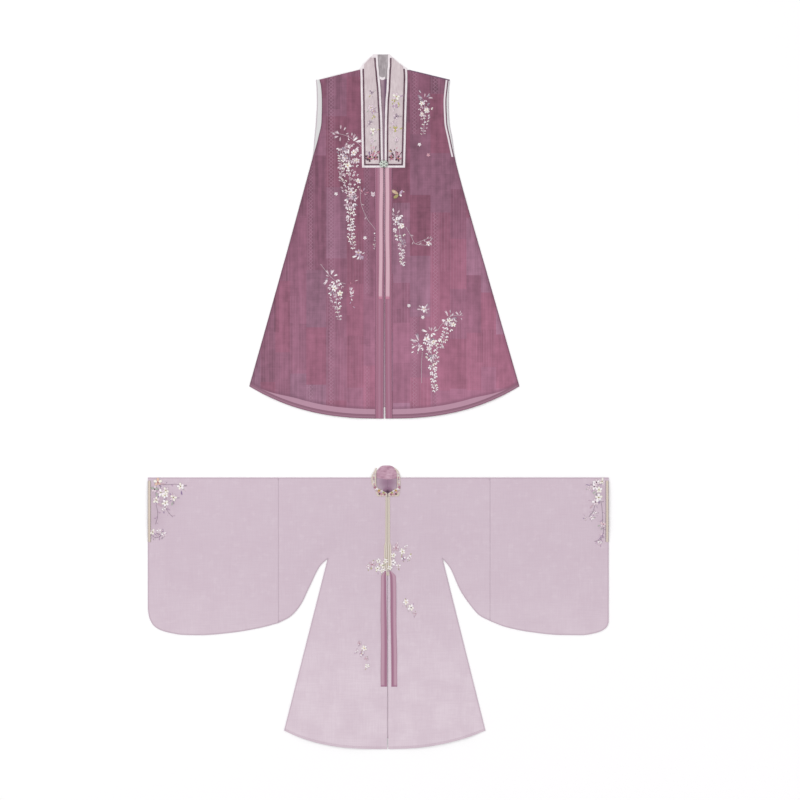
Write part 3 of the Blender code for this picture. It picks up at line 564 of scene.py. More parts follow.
white_satin = satin("white_satin_bias", "#e6dde1", "#f0e9ec", "#d6c8ce", 1.6)
plum_satin = satin("plum_satin_piping", "#5f4250", "#7a5a69", "#4c323f", 1.6)
pink_panel = satin("pale_pink_satin", "#cabbbf", "#d6c9cc", "#beadb2", 1.8)
grey_lining = satin("grey_silk_lining", "#a2999d", "#bbb3b7", "#857c80", 2, roughness=0.48)
cream_silk = satin("cream_silk_binding", "#cfc1b6", "#dcd0c6", "#b9a89b", 1.6)
robe_lining = satin("mauve_silk_lining", "#bb94a7", "#d0b1c0", "#94697e", 2, along_x=True)
print("satins", len(bpy.data.materials) - 2)

# %% [markdown]
# ## Ribbons and woven strips
# A satin ribbon has a narrow selvedge on each side and a cut end, which is darker. The
# vest's plackets are strips of its own cloth with pairs of reddish stripes, and the robe's
# are cream and gold with an olive line down the middle. These lines follow the strip, so
# they are drawn on "lay": the distance from its inner edge, the share of its width, and
# the distance from its lower end.

# %% Strips
def strip_material(name, base, light, lines, roughness=0.5, end=None, end_mm=14):
    """lines are (share across, half width as a share, colour, strength)."""
    fabric = Finish(name, base)
    _inner, share, from_end = fabric.carried("lay")
    streak = fabric.noise(2.2, 60, 3)
    fabric.dye(streak, light)
    for position, half, shade, strength in lines:
        fabric.dye(abs(share - position).between(half * 0.7, half * 1.3, strength, 0), shade)
    if end:
        # darker towards the cut end
        fabric.dye(from_end.between(end_mm, end_mm * 0.4) * 0.8, end)
    return fabric.woven(fabric.y.sine(1.8) * 0.4 + streak, 0.25, roughness, 0.15)


placket_lines = [
    (0.04, 0.05, "#7d4c62", 0.6), (0.22, 0.05, "#8f4f68", 0.7), (0.36, 0.03, "#8f4f68", 0.5),
    (0.66, 0.03, "#8f4f68", 0.5), (0.8, 0.05, "#8f4f68", 0.7), (0.98, 0.04, "#6f4258", 0.6),
]
placket_silk = strip_material("plum_placket_silk", "#9c6a80", "#ad7f95", placket_lines, 0.6)
ribbon_lines = [(0, 0.14, "#b98a9b", 0.7), (1, 0.1, "#c297a6", 0.6)]
pink_ribbon = strip_material(
    "pink_satin_ribbon", "#c99fae", "#d4b1bd", ribbon_lines, 0.45, end="#b56f8a"
)
# the outer line is the back's plum edge; the line at 0.05 is painted shadow beside the front's edge
facing_edge_and_shadow_lines = [(1, 0.13, "#a08896", 0.55), (0.05, 0.08, "#8d7481", 0.55)]
grey_facing = strip_material("grey_white_facing", "#cccbcc", "#dad9da", facing_edge_and_shadow_lines)
bias_lines = [(0, 0.16, "#8f7181", 0.7), (1, 0.16, "#94778a", 0.7)]
white_bias = strip_material("white_satin_binding", "#d8ccd3", "#e9e1e5", bias_lines)
tie_lines = [(0.2, 0.2, "#93607a", 0.7), (0.7, 0.16, "#c29fb0", 0.5), (0, 0.05, "#b58da1", 0.6)]
mauve_ribbon = strip_material(
    "mauve_satin_ribbon", "#aa7f94", "#b591a3", tie_lines, 0.45, end="#a0708a", end_mm=8
)
cuff_lines = [(0.02, 0.15, "#6f6058", 0.85), (0.98, 0.15, "#6a5b55", 0.85), (0.5, 0.08, "#b39a7c", 0.5)]
cuff_binding = strip_material("cream_cuff_binding", "#cbbcb0", "#ded2c7", cuff_lines)
gold_lines = [(0.5, 0.09, "#958a70", 0.8), (0.02, 0.1, "#bfae9c", 0.7), (0.98, 0.1, "#bfa98e", 0.7)]
gold_placket = strip_material("cream_gold_placket", "#d0c5bd", "#ddd2c9", gold_lines)
print("strips and satins", len(bpy.data.materials))

# %% [markdown]
# ## Lilac silk organza
# The robe is sheer silk organza with a faint damask of scattered sprigs, which show only
# as paler flecks. Two layers lie on each other almost everywhere. Real transparency would
# need a very thin shell and makes the exported file heavier to draw, so the cloth is
# opaque here, and what shows through it is painted instead: the paler single layer near
# the hem, and the darker doubled cloth at seams and at the fold. The inside of the neck
# gets painted shade, darkest at the tip of the V.

# %% Lilac organza
SPRIG_PITCH = 34


def organza(name):
    """Cloth dyed by height, clouds, flecks, threads, seams and painted shade, in turn."""
    fabric = Finish(name, "#ccbac6")
    seam, up, tint = fabric.carried("lay")
    fabric.dye(fabric.y.between(-520, -1150), "#d9c9d3")
    fabric.dye(fabric.noise(90, 80, 3).between(0.35, 0.65, 0, 0.35), "#c8b4c1")
    values = {"Vector": fabric.vector, "Scale": 1 / SPRIG_PITCH}
    cells = Term(fabric.tree, add(fabric.tree, "ShaderNodeTexVoronoi", values).outputs["Distance"])
    fleck = (fabric.noise(11, 8, 3) * 1.1 + cells).between(0.94, 0.6)
    fabric.dye(fleck * 0.12, "#e4d7df")
    grain = fabric.noise(60, 2.6, 3) + fabric.noise(2.6, 60, 3)
    fabric.dye(grain.between(0.85, 1.15, 0, 0.16), "#b9a3b1")
    fabric.dye(seam.between(6.4, 1.2, 0, 0.4), "#a58c9c")
    fabric.dye(up.between(9, 7.8) * 0.3, "#b89fae")  # the turned hem
    # lilac shading round the cuffs' embroidery and beside the placket, and painted shade inside the
    # neck
    fabric.dye(tint.between(0, 1), "#8d6a82")
    # painted shade, deepest at the tip of the neck's V
    fabric.dye(tint.between(1, 2), "#3f2438")
    height = fabric.threads() * 0.4 + grain + fleck * 0.4
    return fabric.woven(height, 0.25, 0.6, 0.1, "#f2e6ee")


robe_silk = organza("lilac_silk_organza")
print("materials", len(bpy.data.materials))

# %% [markdown]
# ## From a table to cloth
# A piece of cloth is a grid of points that gets a wall, and a wall that gets softly
# rounded edges. Mesh code is used here and not a simulation, because a garment that was
# smoothed flat has hardly any drape left, and its outline has to stay where the solids
# are. Solidify and Bevel make the wall and its edge, and their result is kept as a plain
# mesh. The function also measures the flat cut of each piece.

# %% Cloth maker
SHELL = 1.12  # wall of the robe, whose two layers then meet at the seams
EDGE_ROUND, EDGE_ANGLE = 0.3, 50
WELD = 0.00002
LOOKS = {  # material and slot of each kind of piece
    "vest_back": (vest_inside, "plum_jacquard"),
    "vest_front": (vest_silk, "plum_jacquard"),
    "vest_armhole_facing": (grey_facing, "grey_silk"),
    "vest_armhole_binding": (white_bias, "white_trim"),
    "vest_collar": (white_satin, "white_trim"),
    "vest_collar_panel": (pink_panel, "pale_pink_silk"),
    "vest_collar_piping": (plum_satin, "plum_piping"),
    "vest_collar_back": (grey_lining, "grey_silk"),
    "vest_neck_trim": (white_satin, "white_trim"),
    "vest_placket": (placket_silk, "plum_strip"),
    "vest_tie": (pink_ribbon, "pink_ribbon"),
    "robe_body": (robe_silk, "lilac_organza"),
    "robe_sleeve": (robe_silk, "lilac_organza"),
    "robe_cuff_trim": (cuff_binding, "cream_trim"),
    "robe_collar": (cream_silk, "cream_trim"),
    "robe_collar_back": (robe_lining, "mauve_silk"),
    "robe_placket": (gold_placket, "cream_trim"),
    "robe_tie": (mauve_ribbon, "mauve_ribbon"),
}
cuts = {}  # piece: width, length and area of the flat cut, in metres


def plain_mesh(obj):
    """Turns an object with modifiers into the mesh that they make."""
    bpy.context.view_layer.update()
    result = bpy.data.meshes.new_from_object(
        obj.evaluated_get(bpy.context.evaluated_depsgraph_get())
    )
    obj.modifiers.clear()
    old, obj.data = obj.data, result
    if old.users == 0:
        bpy.data.meshes.remove(old)
    for polygon in result.polygons:
        polygon.use_smooth = True
    return obj


def measure_cut(grids):
    """Width, length and area of the flat cut, from the points of the grids."""
    width, length, area = 0, 0, 0
    for grid in grids:
        width += np.linalg.norm(np.diff(grid, axis=1), axis=2).sum(axis=1).max()
        length = max(length, np.linalg.norm(np.diff(grid, axis=0), axis=2).sum(axis=0).max())
        faces = np.cross(grid[1:, 1:] - grid[:-1, :-1], grid[1:, :-1] - grid[:-1, 1:])
        area += np.linalg.norm(faces, axis=2).sum() / 2
    return width * MM, length * MM, area * MM * MM


def sheet_mesh(name, grids, marks, garment, side, flip):
    """One layer of faces through the points of the grids, each with its marks."""
    bm = bmesh.new()
    lay = bm.verts.layers.float_vector.new("lay")
    for k, grid in enumerate(grids):
        spots = place(garment, side * grid[..., 0], grid[..., 1], grid[..., 2])
        rows = [[bm.verts.new(spot) for spot in row] for row in spots]
        if marks:
            for row, row_marks in zip(rows, marks[k]):
                for vert, mark in zip(row, row_marks):
                    vert[lay] = mark
        for upper, lower in zip(rows, rows[1:]):
            for i in range(len(upper) - 1):
                corners = (upper[i], lower[i], lower[i + 1], upper[i + 1])
                bm.faces.new(corners if (side > 0) != flip else corners[::-1])
    bmesh.ops.remove_doubles(bm, verts=bm.verts[:], dist=WELD)
    mesh = bpy.data.meshes.new(name)
    bm.to_mesh(mesh)
    bm.free()
    return mesh


def cloth(kind, name, grids, marks=None, wall=WALL + CLOSED, inwards=False, flip=False):
    """A cloth piece from grids of (across, down, height) points in millimetres.

    The points are the underside, or with inwards the side that shows. marks holds three
    measures for each point, kept as the attribute "lay".
    """
    piece = f"{kind}_{name}" if name else kind
    mesh = sheet_mesh(piece, grids, marks, kind.split("_")[0], SIDES.get(name, 1), flip)
    obj = bpy.data.objects.new(piece + "_cloth", mesh)
    bpy.context.scene.collection.objects.link(obj)
    cuts[obj.name] = measure_cut(grids)
    shell = obj.modifiers.new("Wall", "SOLIDIFY")
    shell.thickness, shell.offset = wall * MM, -1 if inwards else 1
    edge = obj.modifiers.new("Edge", "BEVEL")
    edge.width, edge.segments = EDGE_ROUND * MM, 2
    edge.limit_method, edge.angle_limit = "ANGLE", math.radians(EDGE_ANGLE)
    material, slot = LOOKS[kind]
    mesh.materials.append(material)
    plain_mesh(obj)
    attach(obj, "root")
    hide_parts(piece)
    return obj


def crown(rise, count):
    """A low arch over the width of a strip."""
    return rise * np.sin(np.pi * np.linspace(0, 1, count)) ** 0.8


def strip_grid(rows, count, rise=0):
    """A grid between two edges: rows of (inner, outer, down or (down, down), height)."""
    share, bump = np.linspace(0, 1, count), crown(rise, count)
    grid = []
    for inner, outer, down, height in rows:
        downs = mix(down[0], down[1], share) if isinstance(down, tuple) else down
        grid.append(grid_of(mix(inner, outer, share), downs, height + bump))
    return np.array(grid)


def strip(kind, name, grid, wall=WALL + CLOSED):
    """A strip that carries measures: from its inner edge, share of its width, from its end."""
    inner, outer = grid[:, :1, 0], grid[:, -1:, 0]
    across, down = grid[..., 0], grid[..., 1]
    marks = grid_of(across - inner, (across - inner) / (outer - inner), down[-1:] - down)
    return cloth(kind, name, [grid], [marks], wall)


print("kinds of pieces", len(LOOKS))

# %% [markdown]
# ## The vest: back and fronts
# The back is one panel that lies flat. Each front hangs from the shoulder, is cut away at
# the armhole and flares to the hem, whose edge is bowed. The rows of the table become
# smooth curves, and the fronts rise a little between their seams, with the folds above.

# %% Vest panels
BACK_REACH, BACK_COLUMNS = 11, 79
FRONT_REACH, FRONT_COLUMNS = 7.5, 62
FLAT_AT_COLLAR, FLAT_BELOW = 95, 36  # width beside the centre line that stays level
FLAT_TURN, FLAT_BLEND = 365, 70  # where it narrows
ARMHOLE_RAISED, ARMHOLE_BLEND = 350, 35  # where a front's edge comes down a layer
BACK_SHORTER, BACK_DEEPER = 15, 19  # the back's hem above a front's: at the side, and more within


def vest_back_top(across):
    """The back's upper edge: the curve of the neck, then the slope of a shoulder."""
    away = np.abs(across)
    neck = VEST_NECK_DROP * (1 - (away / VEST_NECK_HALF) ** 2)
    tip, tip_down = VEST_BACK[0][:2]
    slope = (away - VEST_NECK_HALF) / (tip - VEST_NECK_HALF) * tip_down
    return np.where(away < VEST_NECK_HALF, neck, slope)


def build_vest_back():
    rows = split_rows(flowing(VEST_BACK, BACK_REACH))
    left, left_down, right, right_down, centre_down, bow = rows
    share = np.linspace(-1, 1, BACK_COLUMNS)
    across = np.where(share < 0, share * left, share * right)
    edge_down = np.where(share < 0, left_down, right_down)
    down = mix(centre_down, edge_down, np.abs(share) ** bow)
    down[0] = vest_back_top(across[0])
    return cloth("vest_back", None, [grid_of(across, down, 0)], wall=WALL)


def armhole_lift(down):
    """Underside of a front's edge, which lies on the facing as far as the armhole goes."""
    return FRONT_UNDER + LAYER * smooth_step((ARMHOLE_RAISED - down) / ARMHOLE_BLEND)


def front_height(side, across, down, inner_down, outer, outer_down):
    """Height of the underside of a front."""
    narrowed = smooth_step((inner_down - FLAT_TURN) / FLAT_BLEND)
    level = mix(FLAT_AT_COLLAR, FLAT_BELOW, narrowed)
    ramp = smooth_step((across - level) / CENTRE_BLEND)
    rise = ramp * smooth_step((outer - across - BINDING_EDGE - BINDING_WIDTH) / LOFT_REACH)
    rise = rise * smooth_step(down / SHOULDER_REACH)
    loft = rise * (LOFT + waves("vest", side * across, down))
    return mix(FRONT_UNDER, armhole_lift(outer_down), ramp) + loft


def build_vest_front(name):
    rows = flowing(VEST_FRONT[name], FRONT_REACH)
    inner, inner_down, outer, outer_down, bow = split_rows(rows)
    share = np.linspace(0, 1, FRONT_COLUMNS)
    across = mix(inner, outer, share)
    down = mix(inner_down, outer_down, share**bow)
    height = front_height(SIDES[name], across, down, inner_down, outer, outer_down) - CLOSED
    hem_inner, hem_inner_down, hem_outer, hem_outer_down, hem_bow = VEST_FRONT[name][-1]
    hem_share = np.linspace(0, 1, 80)
    hem_line = mix(hem_inner_down, hem_outer_down, hem_share**hem_bow)
    hem = np.interp(across, mix(hem_inner, hem_outer, hem_share), hem_line) - down
    inwards = smooth_step((hem_outer - across - 30) / 150)
    behind = hem - BACK_SHORTER - BACK_DEEPER * inwards
    marks = grid_of(outer - across, hem, behind)
    return cloth("vest_front", name, [grid_of(across, down, height)], [marks])


vest_back = build_vest_back()
vest_fronts = {name: build_vest_front(name) for name in SIDES}
print("vest back and fronts", {name: len(o.data.polygons) for name, o in vest_fronts.items()})

# %% [markdown]
# ## Armholes
# The back armhole is faced with grey-white silk, which shows past the front on both
# sides. The right front is also bound with a narrow white bias strip, stitched a little
# inside its edge, so a thin line of plum shows beyond it. The strips follow the curve of
# the front, so they are made from the same rows.

# %% Armhole facing and binding
def armhole_rows(name):
    rows = flowing(VEST_FRONT[name], 6)
    return rows[rows[:, 3] <= ARMHOLE_END]


def build_facing(name):
    back = flowing(VEST_BACK, 6)
    edge_column, down_column = (0, 1) if name == "left" else (2, 3)
    rows = []
    for _inner, _inner_down, outer, outer_down, _bow in armhole_rows(name):
        edge = np.interp(outer_down, back[:, down_column], back[:, edge_column]) - 0.2
        rows.append((outer - FACING_LAP, edge, outer_down, FRONT_UNDER - CLOSED))
    return strip("vest_armhole_facing", name, strip_grid(rows, 7, 0.15))


def build_binding():
    rows = []
    for inner, inner_down, outer, outer_down, _bow in armhole_rows("right"):
        edge = outer - BINDING_EDGE
        slope = (inner_down - outer_down) / (outer - inner)
        downs = tuple(outer_down + (outer - a) * slope for a in (edge - BINDING_WIDTH, edge))
        height = armhole_lift(outer_down) + LAYER - CLOSED
        rows.append((edge - BINDING_WIDTH, edge, downs, height))
    return strip("vest_armhole_binding", "right", strip_grid(rows, 7, 0.5))


facings = {name: build_facing(name) for name in SIDES}
binding = build_binding()
print("armhole pieces", len(facings) + 1)

# %% [markdown]
# ## The straight collar
# The collar is a white satin band that is folded over the neck and runs straight down
# both fronts. A pale pink satin panel lies on it, framed with plum piping, a strip folded
# round a thin cord. The bands come from the table, the panel keeps a border's width from
# their edges, and the piping gets a half-round section.

# %% Collar
INSET = COLLAR_BORDER + PIPING_WIDTH  # from the band's edge to the panel's, but for a gap
FOLD_START = VEST_COLLAR[1][0]  # above it the collar turns over and shows its border alone


def collar_rows(table, name, low_unders, under, reach):
    """Rows of (down, inner, outer, underside) of one side's band."""
    inner, outer = COLLAR_COLUMNS[name]
    unders = low_unders + [under] * (len(table) - len(low_unders))
    rows = [(band[0], band[inner], band[outer], u) for band, u in zip(table, unders)]
    return flowing(rows, reach, chord=3)


def collar_edges(name, reach=6):
    return collar_rows(VEST_COLLAR, name, COLLAR_TOP_UNDER, TRIM_UNDER, reach)


def build_band(name):
    rows = [(i, o, d, u - CLOSED) for d, i, o, u in collar_edges(name)]
    return cloth("vest_collar", name, [strip_grid(rows, 11)])


def build_panel(name):
    edges, inset = collar_edges(name), INSET + GAP
    end = VEST_COLLAR_END - inset
    straight = np.interp(COLLAR_SHOULDER, edges[:, 0], edges[:, 2]) - inset
    rows = []
    for down, inner, outer, under in edges:
        if FOLD_START <= down <= end:
            limit = outer - inset
            if down < COLLAR_SHOULDER:
                limit = min(outer - COLLAR_FOLD_BORDER, straight)
            rows.append((inner + inset, limit, down, under + LAYER - CLOSED))
    rows.append(rows[-1][:2] + (end,) + rows[-1][3:])
    return cloth("vest_collar_panel", name, [strip_grid(rows, 9, 0.25)])


def build_piping(name):
    """Down the outer edge of the panel, along its end and up its inner edge."""
    edges, end = collar_edges(name), VEST_COLLAR_END
    edges = edges[edges[:, 0] < end - INSET]
    border, inset = COLLAR_BORDER, INSET
    outline = []  # the border's side and the panel's side of each row, and its height
    for down, _inner, outer, _under in edges[edges[:, 0] >= COLLAR_SHOULDER]:
        outline.append(((outer - border, down), (outer - inset, down), UPPER_UNDER))
    _down, last_inner, last_outer, _under = collar_edges(name)[-1]
    for edge, way in ((last_outer, -1), (last_inner, 1)):
        near, far = edge + way * border, edge + way * inset
        outline.append(((near, end - border), (far, end - inset), UPPER_UNDER))
    for down, inner, _outer, under in edges[edges[:, 0] >= FOLD_START][::-1]:
        outline.append(((inner + border, down), (inner + inset, down), under + LAYER))
    share, bump = np.linspace(0, 1, 6), crown(0.9, 6)
    grid = [
        grid_of(mix(near[0], far[0], share), mix(near[1], far[1], share), height - CLOSED + bump)
        for near, far, height in outline
    ]
    return cloth("vest_collar_piping", name, [np.array(grid)], wall=WALL, flip=True)


collars = {name: (build_band(name), build_panel(name), build_piping(name)) for name in SIDES}
print("collar pieces", sum(len(pieces) for pieces in collars.values()))

# %% [markdown]
# ## Inside the neck
# Between the two bands the back of the collar stands behind the neck with its grey lining
# up, in soft upright folds, and a white bias strip covers the seam with the back.

# %% Collar lining and neck trim
LINING_RIBS = [(-17, 2.2, 0.5), (-9, 1.6, -0.4), (-2.5, 2, 0.6), (5.5, 1.8, -0.5)]
NECK_TRIM = (-17.6, 2, 9, 4)  # from, to, width, sag


def build_collar_back():
    top, left, right = VEST_COLLAR[0][0], VEST_COLLAR[0][1], VEST_COLLAR[0][4]
    seam = np.linspace(-0.35 * VEST_BACK[0][0], 0.35 * VEST_BACK[0][2], 41)
    lower = vest_back_top(seam) - 2 * GAP
    share = np.linspace(0, 1, 13)[:, None]
    across = mix(np.linspace(-left, right, 41), seam, share)
    fold = sum(height * bell((across - at) / width) for at, width, height in LINING_RIBS)
    height = np.maximum(fold, 0) * np.abs(np.sin(np.pi * share)) ** 0.5
    grid = grid_of(across, mix(top, lower, share), height)
    return cloth("vest_collar_back", None, [grid], wall=0.8)


def build_neck_trim():
    start, end, width, sag = NECK_TRIM
    share = np.linspace(0, 1, 15)
    across = mix(start, end, share)
    top = vest_back_top(across) - width + sag * (1 - (2 * share - 1) ** 2)
    down = top + width * np.linspace(0, 1, 6)[:, None]
    height = FRONT_UNDER - CLOSED + crown(0.4, 6)[:, None]
    return cloth("vest_neck_trim", None, [grid_of(across, down, height)])


collar_back = build_collar_back()
neck_trim = build_neck_trim()
print("inside the neck", collar_back.name, neck_trim.name)

# %% [markdown]
# ## Plackets and ribbons of the vest
# Each front edge is finished with a strip of the same silk, and two pink satin ribbons
# hang from the clasp. A ribbon that was laid down by hand isn't quite straight: it sways
# by a millimetre, and its edges lift here and there, so it gets a slow wave.

# %% Plackets and ribbons
def build_placket(name):
    top = VEST_COLLAR_END + GAP
    rows = flowing(VEST_FRONT[name], 9)
    start = np.interp(top, rows[:, 1], rows[:, 0])
    inner, inner_down, outer, outer_down, bow = split_rows(rows[rows[:, 1] > top + 2])
    beside = PLACKET_WIDTHS[name] * np.linspace(0, 1, 9)
    down = mix(inner_down, outer_down, (beside / (outer - inner)) ** bow)
    down[-1] -= 0.6  # so that the front's hem stays in sight
    across = np.vstack([start + beside, inner + beside])
    down = np.vstack([top + 0 * beside, down])
    wave = 0.12 * np.sin(down / 37) + 0.08 * np.sin(down / 13 + SIDES[name])
    height = TRIM_UNDER - CLOSED + np.maximum(wave, 0) + crown(0.15, 9)
    return strip("vest_placket", name, grid_of(across, down, height))


def ribbon(kind, name, rows, under, seed, sway=0.5, lift=0.7):
    """A soft flat ribbon from rows of (down, inner, outer)."""
    down, inner, outer = split_rows(flowing(rows, 5, chord=3))
    share = np.linspace(0, 1, 9)
    drift = sway * np.sin(down / 41 + seed) * smooth_step((down - down[0]) / 60)
    wave = lift * (0.5 + 0.5 * np.sin(down / 29 + seed)) * (2 * share - 1) ** 2
    wave = wave + 0.3 * lift * (0.5 + 0.5 * np.sin(down / 11 + 2 * seed))
    grid = grid_of(mix(inner, outer, share) + drift, down, under - CLOSED + wave)
    return strip(kind, name, grid, 0.7)


def build_vest_tie(name):
    rows = []
    for share in (0, 0.25, 0.5, 0.75, 1):
        inner = mix(*TIE_INNER[name], share)
        rows.append((VEST_COLLAR_END + GAP + TIE_LENGTH * share, inner, inner + TIE_WIDTHS[name]))
    return ribbon("vest_tie", name, rows, UPPER_UNDER, SIDES[name] + 2)


plackets = {name: build_placket(name) for name in SIDES}
vest_ties = {name: build_vest_tie(name) for name in SIDES}
print("vest pieces", len(cuts))

# %% [markdown]
# ## The robe
# Each half of the robe's body is one length of silk, folded at the shoulder with no seam
# there, so front and back hang from the fold. The sleeve's end is a second length, folded
# the same way, curved below and sewn to the body by a straight seam. A half circle of
# rows turns the cloth over the fold. The points are the outer side, and the wall grows
# inwards, so both layers stay apart.

# %% Robe body
ROBE_REACH, FOLD_STEPS, BODY_COLUMNS = 8, 7, 36
FOLD_SEAM = 1.4  # the fold at the shoulder looks like a seam that far away
ROOT_SEAM, END_SEAM = 3.7, 3.9  # and the seam between body and sleeve, on either side
NO_HEM = 300  # as far from the hem as cloth that has none
TINTS = {  # centre across, down, radius, strength of the dyed shading, per side
    "left": [(835, 60, 55, 0.3), (840, 150, 45, 0.26), (770, 80, 40, 0.16)],
    "right": [(775, 60, 45, 0.28), (778, 160, 45, 0.24), (20, 300, 30, 0.08)],
}


def robe_height(side, across, down, sewn):
    """Outer height of the robe's front: low at its seams, level beside the centre line."""
    rise = smooth_step(to_path(across, down, sewn) / LOFT_REACH)
    loft = ROBE_EXTRA_LOFT + LOFT + waves("robe", side * across, down)
    lofted = SEAM_TOP + rise * loft
    lofted = mix(np.minimum(lofted, ROBE_FRONT_TOP), lofted, smooth_step(down / SHOULDER_REACH))
    return mix(ROBE_FRONT_TOP, lofted, smooth_step((across - CENTRE_FLAT) / CENTRE_BLEND))


def folded(front, back, front_marks, back_marks):
    """Back rows from the hem up, a half circle over the fold, and front rows down again."""
    across, down, height = front[0].T
    turn = []
    for step in range(1, FOLD_STEPS):
        angle = math.pi * step / FOLD_STEPS
        half = height / 2
        turn.append(grid_of(across, down - half * math.sin(angle), half * (1 - math.cos(angle))))
    turn_marks = np.repeat(front_marks[:1], len(turn), axis=0)
    points = np.concatenate([back[::-1], turn, front])
    return points, np.concatenate([back_marks[::-1], turn_marks, front_marks])


def by_down(rows):
    """Front or back rows above the underarm, refined alike in both layers and the sleeve."""
    return flowing(rows, ROBE_REACH, gaps=np.diff(ROBE_OUTER))


def tinted(name, across, down):
    """Soft dyed shading round the embroidery of the cuffs, and beside the placket."""
    total = 0 * across
    for x, y, radius, strength in TINTS[name]:
        total = total + strength * np.exp(-(((across - x) ** 2 + (down - y) ** 2) / radius**2))
    beside = 0.1 * bell((across - 26) / 15) * smooth_step((down - 70) / 60)
    upper = 0.07 * smooth_step((420 - down) / 200) * smooth_step((330 - across) / 160)
    return total + beside + upper


def neck_shade(across, down):
    """Painted shade on the inside of the back where it shows in the neck, darkest at the V's tip."""
    inside = 0.78 * bell(across / 45) * bell((down - 14) / 36)
    return inside + 1.5 * bell(across / 15) * bell((down - 50) / 11)


def with_hem(rows, inner, down, name):
    """Rows down to the underarm, and from there to the hem."""
    hem = (inner, down, *ROBE_HALF[name][1:4])
    return split_rows(np.vstack([rows, flowing([rows[-1], hem], ROBE_REACH)[1:]]))


def body_layer(name, columns_of_rows, sewn, is_front):
    inner, inner_down, outer, outer_down, bow = columns_of_rows
    share, hem_share = np.linspace(0, 1, BODY_COLUMNS), np.linspace(0, 1, 60)
    across, down = mix(inner, outer, share), mix(inner_down, outer_down, share**bow)
    hem_line = mix(inner_down[-1], outer_down[-1], hem_share ** bow[-1])
    hem = np.interp(across, mix(inner[-1], outer[-1], hem_share), hem_line) - down
    seam = np.minimum(to_path(across, down, sewn), down + FOLD_SEAM)
    if is_front:
        height, tint = robe_height(SIDES[name], across, down, sewn), tinted(name, across, down)
    else:
        # the back also gets the painted shade of the neck opening
        height, tint = 0, tinted(name, across, down) + neck_shade(across, down)
    return grid_of(across, down, height), grid_of(seam, hem, tint)


def build_robe_body(name):
    side = SIDES[name]
    underarm, hem_across, hem_down = ROBE_HALF[name][:3]
    root = flowing(SLEEVE_ROOT[name], 8, chord=2)
    sewn = [(hem_across, hem_down)] + [tuple(edge) for edge in root]
    front = by_down([(a, d, underarm, o, 1) for (a, d), o in zip(ROBE_NECK, ROBE_OUTER)])
    back_rows = [(ROBE_NECK[0][0], 0, underarm, 0, 1)]
    back_rows.append((GAP / 2, ROBE_NECK_DROP, underarm, ROBE_OUTER[1], 1))
    back_rows += [(GAP / 2, o, underarm, o, 1) for o in ROBE_OUTER[2:]]
    back = by_down(back_rows)
    downs = front[:, [3]]
    front = body_layer(name, with_hem(front, ROBE_HEM_SPLIT, ROBE_LENGTH, name), sewn, True)
    back = body_layer(name, with_hem(back, GAP / 2, ROBE_BACK_LENGTH, name), sewn, False)
    body, body_marks = folded(front[0], back[0], front[1], back[1])

    across, down = root[:, 0] + 0 * downs, downs / downs[-1] * root[:, 1]
    across[:, -1] -= GAP / 2
    seam = np.minimum(to_path(across, down, sewn), root[-1, 0] - across + ROOT_SEAM)
    marks = grid_of(np.minimum(seam, down + FOLD_SEAM), NO_HEM, tinted(name, across, down))
    front = grid_of(across, down, robe_height(side, across, down, sewn))
    sleeve, sleeve_marks = folded(front, grid_of(across, down, 0), marks, marks)
    return cloth("robe_body", name, [body, sleeve], [body_marks, sleeve_marks], SHELL, True)


robe_bodies = {name: build_robe_body(name) for name in SIDES}
print("robe bodies", {name: len(o.data.polygons) for name, o in robe_bodies.items()})

# %% [markdown]
# ## Sleeves and cuffs
# The sleeve's edge below the cuff opening is sewn shut and rounded at the corner, and the
# opening stands up a little, with its cream binding on it.

# %% Sleeves
SLEEVE_ROWS, CUFF_TRIM_START = 72, 9.4


def sleeve_seams(name):
    """The sleeve's lower edge, and the path along which it is sewn shut."""
    lower = flowing(SLEEVE_END[name], 7, chord=2)
    return lower, [tuple(edge) for edge in lower] + [(ROBE_HALF[name][4], CUFF_OPENING)]


def cuff_height(name, across, down, sewn):
    cuff = ROBE_HALF[name][4]
    lofted = robe_height(SIDES[name], across, down, sewn)
    line = [(cuff, CUFF_FADE), (cuff, CUFF_OPENING - CUFF_FADE)]
    near = 1 - smooth_step(to_path(across, down, line) / CUFF_FADE)
    return mix(lofted, np.maximum(lofted, CUFF_TOP), near)


def build_sleeve(name):
    lower, sewn = sleeve_seams(name)
    across = lower[:, 0] + np.zeros((SLEEVE_ROWS, 1))
    across[:, 0] += GAP / 2
    down = np.linspace(0, 1, SLEEVE_ROWS)[:, None] * lower[:, 1]
    seam = np.minimum(to_path(across, down, sewn), across - lower[0, 0] + END_SEAM)
    marks = grid_of(np.minimum(seam, down + FOLD_SEAM), NO_HEM, tinted(name, across, down))
    front = grid_of(across, down, cuff_height(name, across, down, sewn))
    points, marks = folded(front, grid_of(across, down, 0), marks, marks)
    return cloth("robe_sleeve", name, [points], [marks], SHELL, True)


def build_cuff_trim(name):
    _lower, sewn = sleeve_seams(name)
    down = np.linspace(CUFF_TRIM_START, CUFF_OPENING, 46)[:, None] + np.zeros(6)
    across = ROBE_HALF[name][4] - CUFF_TRIM * (1 - np.linspace(0, 1, 6)) + 0 * down
    height = cuff_height(name, across, down, sewn) + GAP - CLOSED + crown(0.3, 6)
    return strip("robe_cuff_trim", name, grid_of(across, down, height), WALL)


sleeves = {name: (build_sleeve(name), build_cuff_trim(name)) for name in SIDES}
print("sleeves and trims", [[len(o.data.polygons) for o in pair] for pair in sleeves.values()])

# %% [markdown]
# ## Stand collar, plackets and ties of the robe
# The stand collar is laid open in a small V: its back shows the mauve inside, and its two
# front bands are cream with small flowers. Cream and gold strips run down to the closure,
# and two mauve ribbons hang from it.

# %% Robe collar and strips
ROBE_STRIP_UNDER = ROBE_FRONT_TOP + GAP


